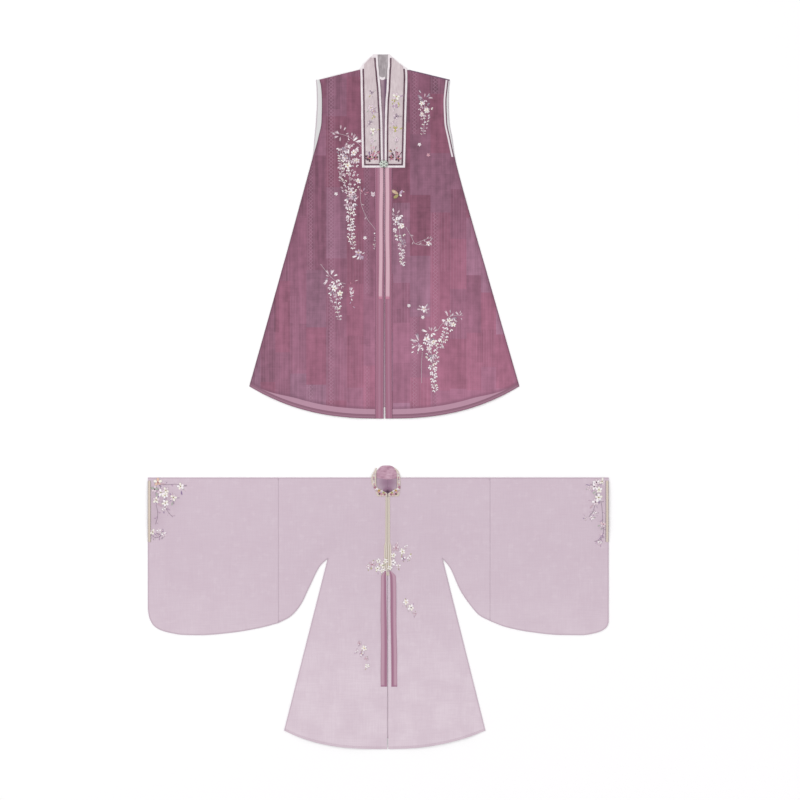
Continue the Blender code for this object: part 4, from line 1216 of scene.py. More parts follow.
def robe_collar_edges(name, reach=2.5):
    return collar_rows(ROBE_COLLAR, name, ROBE_COLLAR_UNDER, ROBE_STRIP_UNDER, reach)


def build_robe_collar(name):
    rows = [(i, o, d, u - CLOSED) for d, i, o, u in robe_collar_edges(name)]
    return cloth("robe_collar", name, [strip_grid(rows, 9, 0.5)])


def build_robe_collar_back():
    share = np.linspace(0, 1, 49)
    across = mix(*ROBE_COLLAR_ENDS, share)
    top = -ROBE_COLLAR_TOP * (1 - ROBE_COLLAR_ARCH * np.abs(2 * share - 1) ** 3.2)
    seam = ROBE_NECK_DROP * (1 - np.abs(across) / ROBE_NECK_HALF) - 2 * GAP
    along = np.linspace(0, 1, 19)[:, None]
    down = mix(top, seam, along)
    roll = 0.8 * bell((along - 0.1) / 0.07) + 0.5 * along * np.sin(np.pi * along)
    marks = grid_of(across, down - top, seam - down)
    return cloth("robe_collar_back", None, [grid_of(across, down, roll)], [marks], 0.9)


def build_robe_placket(name):
    rows = flowing(ROBE_PLACKET, 5, chord=3)
    rows = [(i, o, d, ROBE_STRIP_UNDER - CLOSED) for d, i, o in rows]
    return strip("robe_placket", name, strip_grid(rows, 7, 0.3))


def build_robe_tie(name):
    seed = SIDES[name] + 4
    return ribbon("robe_tie", name, ROBE_TIES[name], ROBE_STRIP_UNDER, seed, sway=0.4, lift=0.9)


robe_collars = {name: build_robe_collar(name) for name in SIDES}
robe_collar_back = build_robe_collar_back()
robe_plackets = {name: build_robe_placket(name) for name in SIDES}
robe_ties = {name: build_robe_tie(name) for name in SIDES}
print("all cloth pieces", len(cuts), "areas in m2", {k: round(v[2], 3) for k, v in cuts.items()})

# %% [markdown]
# ## The clasp
# A cast flower clasp in pale enamel holds the collar closed. Its round body is the solid
# from the frame, which keeps its shape and gets an enamel finish.

# %% Enamel
def enamel(name, base, speck):
    """Glossy enamel over cast metal: pooled colour with darker, fine specks."""
    glaze = Finish(name, base)
    pooled = glaze.noise(5, 5, 3)
    glaze.dye(pooled.between(0.52, 0.66), speck)
    return glaze.done({"Roughness": 0.25, "Coat Weight": 0.5}, pooled, 0.3)


clasp_enamel = enamel("grey_green_enamel", "#b9c2ba", "#77807a")
clasp_petals = enamel("pale_green_enamel", "#cfd6cd", "#a3aea4")
clasp_dots = enamel("dark_enamel", "#6b706c", "#8b8f86")
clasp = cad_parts["vest_clasp"]
for material_slot in clasp.material_slots:
    material_slot.material = clasp_enamel
print("clasp faces", len(clasp.data.polygons))

# %% [markdown]
# ## Embroidery: how it is made
# The flowers are raised satin stitch: each petal is a small padded shape of parallel
# silk threads, each stem is a couched cord, and flower centres are gold and pearl beads.
# Hundreds of petals share one shape, so Geometry Nodes put it on points that carry each
# petal's turn, size and thread colour, and realise them at the end. The sprays here are
# ordinary hanging blossoms, leaves and small five-petalled flowers, drawn by rule.

# %% Node trees for thread
def geometry_tree(name, inputs):
    """A Geometry Nodes tree with a geometry in and out, and named inputs."""
    tree = bpy.data.node_groups.new(name, "GeometryNodeTree")
    sockets = tree.interface
    sockets.new_socket("Geometry", in_out="INPUT", socket_type="NodeSocketGeometry")
    for label, kind, value in inputs:
        socket = sockets.new_socket(label, in_out="INPUT", socket_type="NodeSocket" + kind)
        if value is not None:
            socket.default_value = value
    sockets.new_socket("Geometry", in_out="OUTPUT", socket_type="NodeSocketGeometry")
    return tree, add(tree, "NodeGroupInput").outputs


def run_tree(obj, tree, **values):
    """Runs a tree on an object and keeps the result as its plain mesh."""
    modifier = obj.modifiers.new(tree.name, "NODES")
    modifier.node_group = tree
    for item in tree.interface.items_tree:
        if item.in_out == "INPUT" and item.name in values:
            modifier[item.identifier] = values[item.name]
    return plain_mesh(obj)


def named(tree, name, kind):
    node = add(tree, "GeometryNodeInputNamedAttribute", {"Name": name}, data_type=kind)
    return node.outputs["Attribute"]


def close_tree(tree, last, thread):
    """Ends a tree in Realize Instances and Set Material."""
    real = add(tree, "GeometryNodeRealizeInstances", {"Geometry": last.outputs[0]})
    done = add(tree, "GeometryNodeSetMaterial", {"Geometry": real.outputs[0], "Material": thread})
    add(tree, "NodeGroupOutput", {"Geometry": done.outputs[0]})
    return tree


def petal_tree():
    """Puts a padded oval on every point: its base there, its tip along the point's turn."""
    inputs = [("Sides", "Int", 10), ("Rings", "Int", 4), ("Pointed tip", "Float", 0.2)]
    inputs += [("Narrow base", "Float", 0.5), ("Thread", "Material", None)]
    tree, given = geometry_tree("Satin stitch petals", inputs)
    values = {"Segments": given["Sides"], "Rings": given["Rings"], "Radius": 1}
    ball = add(tree, "GeometryNodeMeshUVSphere", values)
    x, y, z = split(tree, add(tree, "GeometryNodeInputPosition").outputs[0])
    along = x * 0.5 + 0.5
    tip = along.maths("POWER", 2) * given["Pointed tip"]
    base = (along * -1 + 1).maths("POWER", 2) * given["Narrow base"]
    beside = y * 0.5 * (tip * -1 + 1 - base)
    up = z.maths("MAXIMUM", 0) + z.maths("MINIMUM", 0) * 0.15
    shape = add(tree, "ShaderNodeCombineXYZ", {0: along, 1: beside, 2: up}).outputs[0]
    values = {"Geometry": ball.outputs["Mesh"], "Position": shape}
    moved = add(tree, "GeometryNodeSetPosition", values)
    values = {"Geometry": moved.outputs[0], "Name": "stitch", "Value": shape}
    kind = {"data_type": "FLOAT_VECTOR", "domain": "POINT"}
    stored = add(tree, "GeometryNodeStoreNamedAttribute", values, **kind)
    turn = add(tree, "ShaderNodeCombineXYZ", {2: named(tree, "turn", "FLOAT")})
    values = {"Points": given["Geometry"], "Instance": stored.outputs[0]}
    values |= {"Rotation": turn.outputs[0], "Scale": named(tree, "size", "FLOAT_VECTOR")}
    placed = add(tree, "GeometryNodeInstanceOnPoints", values)
    return close_tree(tree, placed, given["Thread"])


def stem_tree():
    """Makes a round couched thread of every line."""
    inputs = [("Thickness", "Float", 0.0014), ("Thread", "Material", None)]
    tree, given = geometry_tree("Couched stem", inputs)
    line = add(tree, "GeometryNodeMeshToCurve", {"Mesh": given["Geometry"]})
    values = {"Resolution": 6, "Radius": Term(tree, given["Thickness"]) * 0.5}
    ring = add(tree, "GeometryNodeCurvePrimitiveCircle", values, mode="RADIUS")
    values = {"Curve": line.outputs[0], "Profile Curve": ring.outputs[0], "Fill Caps": True}
    return close_tree(tree, add(tree, "GeometryNodeCurveToMesh", values), given["Thread"])


def stitch_tree():
    """Lays a running stitch along every line."""
    inputs = [("Pitch", "Float", 0.006), ("Length", "Float", 0.0038)]
    inputs += [("Width", "Float", 0.0008), ("Thread", "Material", None)]
    tree, given = geometry_tree("Running stitch", inputs)
    line = add(tree, "GeometryNodeMeshToCurve", {"Mesh": given["Geometry"]})
    values = {"Curve": line.outputs[0], "Length": given["Pitch"]}
    even = add(tree, "GeometryNodeResampleCurve", values, mode="LENGTH")
    stitch = add(tree, "GeometryNodeMeshUVSphere", {"Segments": 6, "Rings": 4, "Radius": 0.5})
    values = {0: given["Length"], 1: given["Width"], 2: given["Width"]}
    size = add(tree, "ShaderNodeCombineXYZ", values)
    tangent = add(tree, "GeometryNodeInputTangent").outputs[0]
    turn = add(tree, "FunctionNodeAlignRotationToVector", {"Vector": tangent}, axis="X")
    values = {"Points": even.outputs[0], "Instance": stitch.outputs["Mesh"]}
    values |= {"Rotation": turn.outputs[0], "Scale": size.outputs[0]}
    placed = add(tree, "GeometryNodeInstanceOnPoints", values)
    return close_tree(tree, placed, given["Thread"])


PETALS, STEMS, STITCHES = petal_tree(), stem_tree(), stitch_tree()
print("trees", [tree.name for tree in (PETALS, STEMS, STITCHES)])

# %% [markdown]
# ## Thread and beads
# Floss silk is dyed filament silk with hardly any twist, so it catches light along the
# threads. The colour comes from the point that a petal stands on, and fine ribs run over
# the petal. A real thread is 0.4 mm wide; a petal gets nine ribs, coarser than real, so
# that they show. Beads are glass pearl and gilt.

# %% Thread materials
def floss(name, ribs, roughness=0.42):
    silk = Finish(name)
    along, beside, up = silk.carried("stitch")
    rib = (beside * 0.5 + along).sine(1 / ribs)
    # painted shade: the colour swings a little with the ribs and darkens towards the petal's low rim
    rib_and_rim_shade = rib * 0.05 + up.between(0, 0.45, 0.8, 1)
    silk.colour = silk.scaled(silk.carried("thread", "Color"), rib_and_rim_shade)
    return silk.woven(rib, 0.12, roughness, 0.2)


def sewing_thread(name, colour, light):
    """Thread of one colour, a little uneven along its length."""
    yarn = Finish(name, colour)
    twist = yarn.noise(1.2, 1.2)
    yarn.dye(twist, light)
    return yarn.woven(twist, 0.1, 0.5, 0.1)


def bead_material(name, colour, metallic, roughness):
    glass = Finish(name, colour)
    glass.dye(glass.noise(2, 2, 1) * 0.25, "#fff6e0")
    return glass.done({"Metallic": metallic, "Roughness": roughness})


petal_floss = floss("silk_floss_petals", 9)
stem_floss = floss("silk_floss_stems", 1, 0.5)
gilt = bead_material("gilt_beads", "#cfa852", 0.55, 0.3)
pearl = bead_material("glass_pearl", "#ece4df", 0, 0.2)
sewing_plum = sewing_thread("plum_sewing_thread", "#6d4459", "#8d6279")
sewing_white = sewing_thread("white_sewing_thread", "#d9cdd2", "#efe8eb")
sewing_lilac = sewing_thread("lilac_sewing_thread", "#a893a1", "#c3b0bd")
print("materials", len(bpy.data.materials))

# %% [markdown]
# ## Drawing with the needle
# A Sampler collects what the needle puts down on one piece of cloth, in the garment's
# millimetres with right as positive, and a turn of 0 pointing down the garment. Its
# heights come from the cloth itself, by dropping each point on it.

# %% Sampler
WHITE, CREAM, PALE, LILAC, GREY = "#f1eaed", "#ece6de", "#dac8d1", "#b89db4", "#a2909f"
GOLD, PINK, ROSE, OLIVE, SAGE = "#cba650", "#d6a3b1", "#b17489", "#a39766", "#aaaea4"
BLUSH = "#cbb0bc"  # the dull pink of the loose florets on the robe
DEEP, VIOLET, LEAF, LIME = "#5a3a4a", "#8b7399", "#c3a7b3", "#b8b071"
BRIGHT = (WHITE, WHITE, WHITE, CREAM, PALE)  # florets in full light
SOFT = (WHITE, PALE, LEAF, CREAM, PALE)  # florets that let more of the ground through
TIER = 10.0  # from one row of florets to the next, and from one floret to the next
STEM_LIFT, STITCH_LIFT = 0.3, 0.1  # of a line of thread above the cloth


def surface_of(objects):
    """A function that gives the height of the highest of some pieces at x, y, in metres."""
    trees = []
    for obj in objects:
        points = [vert.co for vert in obj.data.vertices]
        trees.append(BVHTree.FromPolygons(points, [p.vertices for p in obj.data.polygons]))

    def height(x, y):
        hits = [tree.ray_cast(Vector((x, y, 0.1)), Vector((0, 0, -1)))[0] for tree in trees]
        hits = [hit.z for hit in hits if hit]
        if hits:
            return max(hits)
        return max(tree.find_nearest(Vector((x, y, 0.005)))[0].z for tree in trees)

    return height


def link_mesh(name, spots, edges=()):
    mesh = bpy.data.meshes.new(name)
    mesh.from_pydata([tuple(spot) for spot in spots], list(edges), [])
    obj = bpy.data.objects.new(name, mesh)
    bpy.context.scene.collection.objects.link(obj)
    return obj


def lines_mesh(name, garment, height, lines, lift):
    """Lines given in a garment's millimetres, dropped on the cloth."""
    spots, edges = [], []
    for line in lines:
        edges += [(len(spots) + i, len(spots) + i + 1) for i in range(len(line) - 1)]
        spots += [dropped(garment, height, across, down, lift) for across, down in line]
    return link_mesh(name, spots, edges)


def around(centre, angle, reach_across, reach_down):
    """A point at an angle round another one; 0 is down the garment."""
    turn = math.radians(angle)
    return centre[0] + reach_across * math.sin(turn), centre[1] + reach_down * math.cos(turn)


def dropped(garment, height, across, down, lift):
    """A point of a garment on the cloth, or lifted above it."""
    x, y, _z = place(garment, across, down, 0)
    return x, y, height(x, y) + lift * MM


def carry(obj, label, kind, field, values):
    """Gives every point of a mesh a value under a name."""
    obj.data.attributes.new(label, kind, "POINT").data.foreach_set(field, values)


def keep(obj):
    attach(obj, "root")
    return obj


class Sampler:
    """What the needle puts down on one piece of cloth, and the chance that varies it."""

    def __init__(self, name, garment, cloth_pieces, seed):
        self.name, self.garment = name, garment
        self.height = surface_of(cloth_pieces)
        self.petals, self.leaves, self.lines = [], [], []
        self.gilt, self.pearls, self.knots = [], [], []  # beads, and French knots
        self.chance = random.Random(seed)
        self.vary = self.chance.uniform

    def put(self, kind, u, d, turn, length, width, rise, colour, lift=0):
        kind.append((u, d, turn, length, width, rise, colour, lift))

    def bead(self, kind, u, d, radius, colour=GOLD):
        self.put(kind, u - radius, d, 90, 2 * radius, 2 * radius, radius, colour, 0.7)

    def floret(self, u, d, turn, size, lift, tones):
        """A pea-like floret: two banner petals and a darker keel between them, whose dark colour also
        stands for painted shade between the petals.
        """
        swing_by = self.vary(-14, 14)
        bright = self.chance.choice(tones)
        for way in (-1, 1):
            angle = turn + swing_by + way * self.vary(24, 40)
            self.put(self.petals, u, d, angle, size, 0.66 * size, 0.9, bright, lift)
        # the keel's darker colours are partly painted shade between the banner petals
        keel = self.chance.choice((ROSE, LILAC, ROSE, GREY, DEEP))
        self.put(self.petals, u, d, turn + swing_by, 0.56 * size, 0.26 * size, 1.3, keel, lift + 0.2)

    def raceme(self, start, end, top_width, tip_width, size, bend=0, full_tones=BRIGHT):
        """A hanging spike of florets: loose above, full below that, a chain at the tip."""
        start, end = np.array(start, float), np.array(end, float)
        length = float(np.linalg.norm(end - start))
        run = (end - start) / length
        beside = np.array([-run[1], run[0]])
        heading = math.degrees(math.atan2(run[0], run[1]))
        tiers = max(3, int(length / TIER))
        for i in range(tiers):
            t = i / (tiers - 1)
            middle = start + run * length * t + beside * bend * math.sin(math.pi * t)
            full = min(1, 0.4 + 0.03 * length * t)
            width = mix(top_width, tip_width, t**0.7) * full * self.vary(0.7, 1.15)
            count = max(2, int(round(width / TIER)))
            tones = full_tones if t > 0.25 else (PALE, LEAF, GREY, WHITE)
            for k in range(count):
                if count > 2 and self.chance.random() < 0.16:
                    continue
                away = (k + 0.5) / count * 2 - 1 + self.vary(-0.2, 0.2)
                spot = middle - beside * away * width / 2
                spot = spot + run * self.vary(-4, 4)
                scale = size * mix(1.05, 0.62, t) * self.vary(0.8, 1.15)
                lift = self.vary(0, 0.5)
                self.floret(spot[0], spot[1], heading + away * 48, scale, lift, tones)
        shares = np.linspace(0, 1, 8)
        line = [start + run * length * t + beside * bend * math.sin(math.pi * t) for t in shares]
        self.lines.append((line, PALE))

    def fan(self, centre, reach, angles, count, length, colours=None):
        """Leaves that spread from a point, from one angle to another."""
        for k in range(count):
            angle = mix(*angles, k / max(count - 1, 1)) + self.vary(-24, 24)
            away = reach * self.vary(0.1, 1)
            u, d = around(centre, angle, away, away)
            tone = self.chance.choice(colours or (PALE, LEAF, GREY, LEAF, WHITE))
            self.leaf(u, d, angle, length * self.vary(0.55, 1.2), tone)

    def leaf(self, u, d, turn, length, colour, plump=0.3):
        """A pointed leaf in two halves with a vein between them."""
        for way in (-1, 1):
            width = plump * length
            shade = colour if way < 0 else self.chance.choice((colour, PALE))
            self.put(self.leaves, u, d, turn + way * 7, length, width, 0.8, shade, 0)

    def blossom(self, u, d, size, petal, heart=GOLD, petals=5, turn=0, ring=None):
        """A round flower seen from above, with a beaded centre."""
        for k in range(petals):
            angle = turn + 360 * k / petals + self.vary(-6, 6)
            shade = petal if ring is None or k % 2 == 0 else ring
            length = size * self.vary(0.92, 1.08)
            self.put(self.petals, u, d, angle, length, 0.78 * size, 1, shade, 0.1 * k)
        self.bead(self.gilt if heart == GOLD else self.knots, u, d, 0.19 * size, heart)

    def vine(self, points, colour, leaves=(), leaf_size=12, leaf_colour=LEAF):
        """A curved stem through some points; leaves are (share along, side)."""
        path = flowing(points, 5, chord=2)
        self.lines.append(([np.array(p) for p in path], colour))
        for share, way in leaves:
            at = min(int(share * (len(path) - 1)), len(path) - 2)
            run = path[at + 1] - path[at]
            heading = math.degrees(math.atan2(run[0], run[1]))
            turn = heading + way * self.vary(35, 60)
            self.leaf(path[at][0], path[at][1], turn, leaf_size, leaf_colour)

    def butterfly(self, u, d, size, turn, upper, lower):
        """A small butterfly: four wings, a body and two feelers."""
        for way, fore, hind in ((-1, upper, OLIVE), (1, lower, WHITE)):
            self.put(self.petals, u, d, turn + way * 126, size, 0.5 * size, 1, fore, 0.2)
            self.put(self.petals, u, d, turn + way * 62, 0.74 * size, 0.46 * size, 0.9, hind)
            self.bead(self.pearls, u + way * 0.55 * size, d - 0.3 * size, 0.07 * size, WHITE)
            self.put(self.leaves, u, d - 0.3 * size, 180 + way * 24, 0.6 * size, 1.4, 0.6, DEEP)
        self.put(self.leaves, u, d + 0.34 * size, turn + 180, 0.8 * size, 3, 1.2, DEEP, 0.6)

    def scattered(self, centre, reach, count, size, colours):
        """Loose petals and knots round a spray."""
        for _ in range(count):
            angle = self.vary(0, 360)
            away = self.vary(0.2, 1)
            u, d = around(centre, angle, reach[0] * away, reach[1] * away)
            colour = self.chance.choice(colours)
            scale = size * self.vary(0.7, 1.3)
            self.put(self.petals, u, d, angle, scale, 0.55 * scale, 1.2, colour)

    def sew_points(self, records, suffix, pointed, base, thread, sides=8):
        """One piece of petals, leaves or beads, or none where there are no records."""
        if not records:
            return []
        spots, turns, sizes, colours = [], [], [], []
        for u, d, turn, length, width, rise, colour, lift in records:
            spots.append(dropped(self.garment, self.height, u, d, lift))
            turns.append(math.radians(turn - 90))
            sizes += [length * MM, width * MM, rise * MM]
            colours += linear(colour)
        obj = link_mesh(self.name + suffix, spots)
        carry(obj, "turn", "FLOAT", "value", turns)
        carry(obj, "size", "FLOAT_VECTOR", "vector", sizes)
        carry(obj, "thread", "FLOAT_COLOR", "color", colours)
        values = {"Sides": sides, "Pointed tip": pointed, "Narrow base": base, "Thread": thread}
        return [keep(run_tree(obj, PETALS, **values))]

    def sew(self):
        """Makes the pieces of this sampler and returns them."""
        made = self.sew_points(self.petals, "_petals", 0.15, 0.6, petal_floss, 10)
        made += self.sew_points(self.leaves, "_leaves", 0.8, 0.55, petal_floss, 10)
        made += self.sew_points(self.knots, "_knots", 0.0, 0.0, petal_floss)
        made += self.sew_points(self.gilt, "_gilt", 0.0, 0.0, gilt)
        made += self.sew_points(self.pearls, "_pearls", 0.0, 0.0, pearl)
        if self.lines:
            lines = [line for line, _colour in self.lines]
            obj = lines_mesh(self.name + "_stems", self.garment, self.height, lines, STEM_LIFT)
            colours = [value for line, colour in self.lines for value in linear(colour) * len(line)]
            carry(obj, "thread", "FLOAT_COLOR", "color", colours)
            made.append(keep(run_tree(obj, STEMS, Thread=stem_floss)))
        print(self.name, "petals", len(self.petals), "leaves", len(self.leaves))
        return made


print("tones", len(set(BRIGHT + SOFT)))

# %% [markdown]
# ## Sprays on the vest
# On the left front a long raceme hangs from the chest, with a smaller one below it. On
# the right front there is a short spray on the chest, one at the waist and a large pair
# near the hem. Each is built from the same few motifs, at the scale of a hand: a floret's
# petal is about 10 mm long, and a blossom is about 20 mm wide.

# %% Vest embroidery
def sew_vest_left():
    s = Sampler("vest_flowers_left", "vest", [vest_fronts["left"]], 11)
    s.vine([(-66, 292), (-100, 262), (-140, 238), (-192, 226)], PALE)
    s.fan((-118, 262), 26, (95, 250), 9, 23)
    s.fan((-158, 240), 24, (130, 330), 9, 22)
    s.fan((-134, 290), 22, (250, 110), 8, 22)
    s.raceme((-126, 272), (-120, 455), 80, 44, 11.4, 4, SOFT)
    s.raceme((-160, 282), (-156, 400), 30, 10, 9, -3, SOFT)
    s.raceme((-118, 446), (-112, 640), 44, 20, 12, 7)
    for u, d, size, tone, ring in (
        (-112, 300, 13, WHITE, CREAM), (-132, 346, 14, CREAM, WHITE), (-98, 328, 11, PALE, PALE),
        (-94, 402, 11, WHITE, PALE), (-120, 444, 12, PALE, WHITE), (-140, 318, 10, GREY, PALE),
    ):
        s.blossom(u, d, size, tone, turn=u, ring=ring)
    s.fan((-118, 440), 16, (200, 340), 5, 17)
    s.vine([(-88, 420), (-86, 470), (-66, 530), (-34, 574)], PALE, [(0.4, 1), (0.7, -1)], 13)
    s.vine([(-34, 574), (-28, 610), (-36, 640)], PALE, [(0.3, -1), (0.8, 1)], 10)
    s.raceme((-30, 590), (-34, 640), 16, 8, 8.5)
    s.fan((-78, 446), 18, (60, 300), 7, 14, (ROSE, LILAC, PALE, PINK))
    s.blossom(-40, 450, 9, PALE, PINK)
    s.fan((-46, 452), 8, (30, 200), 4, 12, (PALE, LILAC))
    s.blossom(-174, 448, 7, WHITE, PINK)
    s.blossom(-70, 606, 7, WHITE, PINK)
    s.blossom(-94, 660, 14, LILAC, turn=28, ring=PALE)
    s.fan((-88, 668), 10, (-60, 110), 6, 18, (PALE, LILAC, WHITE))
    s.vine([(-230, 700), (-206, 732), (-180, 758), (-140, 772)], PALE)
    s.fan((-194, 748), 20, (90, 330), 10, 20)
    s.raceme((-174, 760), (-164, 894), 54, 14, 11, 5, SOFT)
    s.blossom(-180, 788, 12, WHITE, turn=15, ring=CREAM)
    s.blossom(-160, 806, 12, CREAM, turn=40)
    s.vine([(-150, 792), (-124, 778), (-98, 752)], ROSE, [(0.5, 1), (0.8, -1)], 14, ROSE)
    s.vine([(-136, 800), (-122, 826), (-112, 862)], ROSE, [(0.3, 1), (0.6, -1), (0.9, 1)], 11, LILAC)
    s.fan((-124, 804), 12, (40, 190), 6, 15, (PALE, LILAC, WHITE, ROSE))
    s.scattered((-122, 816), (18, 20), 5, 9, (PALE, LILAC, WHITE))
    return s.sew()


def sew_vest_right():
    s = Sampler("vest_flowers_right", "vest", [vest_fronts["right"]], 23)
    s.fan((144, 104), 22, (70, 290), 9, 17, (LEAF, GREY, PALE))
    s.raceme((142, 108), (140, 228), 56, 18, 9.4, -4, SOFT)
    for u, d, size, tone, ring in (
        (134, 122, 10, WHITE, CREAM), (150, 146, 10, CREAM, WHITE), (134, 164, 9, PALE, PALE),
        (44, 544, 10, WHITE, PALE), (64, 562, 10, CREAM, WHITE), (158, 626, 10, PALE, WHITE),
        (142, 862, 13, PALE, WHITE), (232, 902, 10, WHITE, CREAM), (248, 918, 10, CREAM, WHITE),
        (152, 970, 13, WHITE, PALE), (176, 980, 12, CREAM, WHITE), (160, 1004, 11, PALE, PALE),
    ):
        s.blossom(u, d, size, tone, turn=u, ring=ring)
    for u, d, tone in ((126, 270, WHITE), (158, 308, PINK), (88, 850, WHITE), (138, 892, WHITE)):
        s.blossom(u, d, 7, tone, PINK)
    s.butterfly(52, 450, 32, 6, "#c3a58c", LILAC)
    s.vine([(12, 508), (30, 516), (46, 540)], PALE)
    s.fan((38, 528), 18, (90, 300), 8, 17)
    s.raceme((52, 528), (60, 616), 52, 30, 12.4, 3)
    s.raceme((62, 610), (66, 700), 30, 14, 11.6, 2)
    s.vine([(76, 566), (96, 600), (112, 628), (160, 634)], PALE, [(0.3, 1), (0.5, -1), (0.75, 1)], 13)
    s.vine([(112, 628), (136, 616), (162, 606)], PALE, [(0.6, -1), (0.9, 1)], 11)
    s.fan((160, 618), 10, (10, 180), 5, 13)
    s.fan((142, 864), 10, (60, 290), 7, 16)
    s.vine([(284, 884), (244, 886), (214, 908), (190, 940)], PALE)
    s.fan((236, 894), 22, (60, 300), 9, 19)
    s.fan((268, 886), 12, (60, 200), 4, 16)
    s.raceme((240, 896), (206, 1000), 46, 16, 11, 3)
    s.fan((128, 984), 24, (180, 350), 10, 19)
    s.fan((168, 950), 16, (120, 240), 6, 19)
    s.scattered((118, 1004), (16, 20), 8, 9, (PALE, LILAC, WHITE))
    s.raceme((164, 952), (172, 1034), 70, 38, 12.5, 3)
    s.raceme((172, 1026), (184, 1152), 38, 15, 12.8, 4)
    s.vine([(136, 1016), (133, 1070), (134, 1128)], PALE)
    return s.sew()


vest_flowers = {"left": sew_vest_left(), "right": sew_vest_right()}

# %% [markdown]
# ## Small flowers on the collars and the robe
# The collar panels carry scattered small blossoms, and darker flowers and leaves at
# their lower ends. On the robe there are sprays at both cuffs and at the closure, a few
# loose florets on the skirt, and a row of tiny flowers round the stand collar.

# %% Collar and robe embroidery
COLLAR_FLOWERS = {  # down, off the middle, size, petals, heart
    "left": [
        (82, 2, 9, GREY, DEEP), (138, -2, 13, PALE, LIME), (152, 8, 9, LILAC, GOLD),
        (192, -6, 9, GREY, DEEP), (222, 4, 14, CREAM, LIME), (172, 6, 8, LIME, PALE),
        (258, 0, 9, PALE, LILAC),
    ],
    "right": [
        (98, 0, 15, CREAM, LIME), (112, -9, 8, LIME, CREAM), (132, -3, 11, LILAC, PALE),
        (170, 2, 12, GREY, DEEP), (215, 0, 12, LIME, GOLD), (196, -8, 8, PALE, LILAC),
        (252, 5, 10, PALE, LILAC),
    ],
}
# in from the cuff, down, size, petals, every second petal, heart
CUFF_FLOWERS = {
    "left": [
        (36, 15, 17, "#dcbba9", CREAM, ROSE), (24, 40, 15, PALE, SAGE, DEEP),
        (47, 52, 15, WHITE, PALE, OLIVE), (65, 44, 14, CREAM, PALE, OLIVE),
        (62, 62, 13, WHITE, CREAM, LIME), (92, 70, 14, CREAM, PALE, OLIVE),
        (30, 79, 14, CREAM, PALE, OLIVE), (63, 90, 14, WHITE, CREAM, OLIVE),
        (118, 30, 14, WHITE, CREAM, OLIVE), (58, 112, 9, PALE, WHITE, GREY),
        (40, 190, 10, PALE, WHITE, LILAC), (58, 202, 10, PALE, WHITE, GREY),
        (17, 194, 12, CREAM, PALE, OLIVE),
    ],
    "right": [
        (44, 15, 14, PALE, WHITE, DEEP), (24, 12, 13, CREAM, PALE, OLIVE),
        (52, 31, 14, WHITE, PALE, DEEP), (35, 42, 14, CREAM, WHITE, LIME),
        (70, 36, 10, PALE, PALE, LILAC), (36, 70, 15, WHITE, CREAM, OLIVE),
        (48, 86, 14, PALE, WHITE, DEEP), (50, 126, 8, PALE, WHITE, GREY),
        (61, 142, 9, WHITE, PALE, ROSE), (84, 146, 7, PALE, PALE, GREY),
        (20, 166, 12, PALE, "#e0c3ca", ROSE), (22, 206, 10, LILAC, PALE, VIOLET),
        (32, 232, 9, PALE, WHITE, GREY),
    ],
}
CUFF_STEMS = {  # in from the cuff, down
    "left": [
        [(24, 18), (60, 24), (100, 22), (126, 34)], [(30, 96), (36, 130), (28, 166)],
        [(60, 100), (78, 128), (90, 140)], [(50, 204), (34, 214), (20, 212)],
    ],
    "right": [
        [(18, 18), (40, 24), (68, 22)], [(30, 76), (24, 110), (22, 150), (18, 200)],
        [(48, 92), (56, 118), (72, 140)], [(20, 206), (30, 222), (52, 228)],
    ],
}
CLOSURE_FLOWERS = {  # across, down, size, petals, heart
    "left": [
        (-56, 311, 14, BLUSH, ROSE), (-33, 298, 10, CREAM, DEEP), (-17, 314, 12, CREAM, LIME),
        (-36, 326, 11, CREAM, OLIVE), (-70, 318, 9, PALE, PINK), (-20, 334, 9, CREAM, OLIVE),
        (-7, 298, 10, CREAM, LIME), (-9, 328, 9, WHITE, DEEP), (-84, 612, 12, CREAM, GOLD),
        (-102, 594, 9, BLUSH, ROSE), (-94, 632, 9, LILAC, GOLD), (-78, 650, 9, BLUSH, PINK),
        (-74, 676, 10, CREAM, PALE), (-112, 622, 7, PALE, LILAC),
    ],
    "right": [
        (30, 251, 15, BLUSH, ROSE), (53, 264, 12, CREAM, LIME), (78, 285, 11, PALE, LILAC),
        (57, 290, 10, LILAC, DEEP), (21, 278, 11, CREAM, LIME), (19, 304, 13, WHITE, DEEP),
        (38, 316, 10, PALE, OLIVE), (8, 322, 10, CREAM, OLIVE), (66, 246, 8, PALE, GREY),
        (66, 446, 12, CREAM, GOLD), (84, 466, 14, CREAM, DEEP), (98, 488, 8, BLUSH, LILAC),
    ],
}


def band_middle(rows, down):
    """Middle of a collar's band, whose rows are (down, inner, outer, ...)."""
    return sum(np.interp(down, rows[:, 0], rows[:, k]) for k in (1, 2)) / 2


def sew_collar(name):
    side, panel = SIDES[name], collars[name][1]
    s = Sampler(f"collar_flowers_{name}", "vest", [panel], 31 + side)
    edges = collar_edges(name)
    shades = (PALE, LILAC, LIME, GREY, SAGE)
    for down, off, size, petal, heart in COLLAR_FLOWERS[name]:
        u = side * band_middle(edges, down) + off
        s.blossom(u, down, size, petal, heart, turn=down, ring=PALE)
        s.fan((u, down + 4), 1.2 * size, (0, 320), 4, 1.1 * size, shades)
    low, dark = side * band_middle(edges, 306), (DEEP, DEEP, ROSE, PINK, VIOLET)
    s.fan((low + side * 4, 322), 15, (110, 250), 9, 20, dark)
    s.fan((low - side * 8, 300), 12, (60, 300), 6, 15, (DEEP, ROSE, PINK, GOLD))
    s.blossom(low + side * 11, 321, 12, DEEP, GOLD, turn=12, ring=ROSE)
    s.blossom(low - side * 13, 318, 10, ROSE, GOLD, turn=40, ring=DEEP)
    s.scattered((low, 304), (20, 20), 10, 7, (PINK, LILAC, GOLD, DEEP))
    return s.sew()


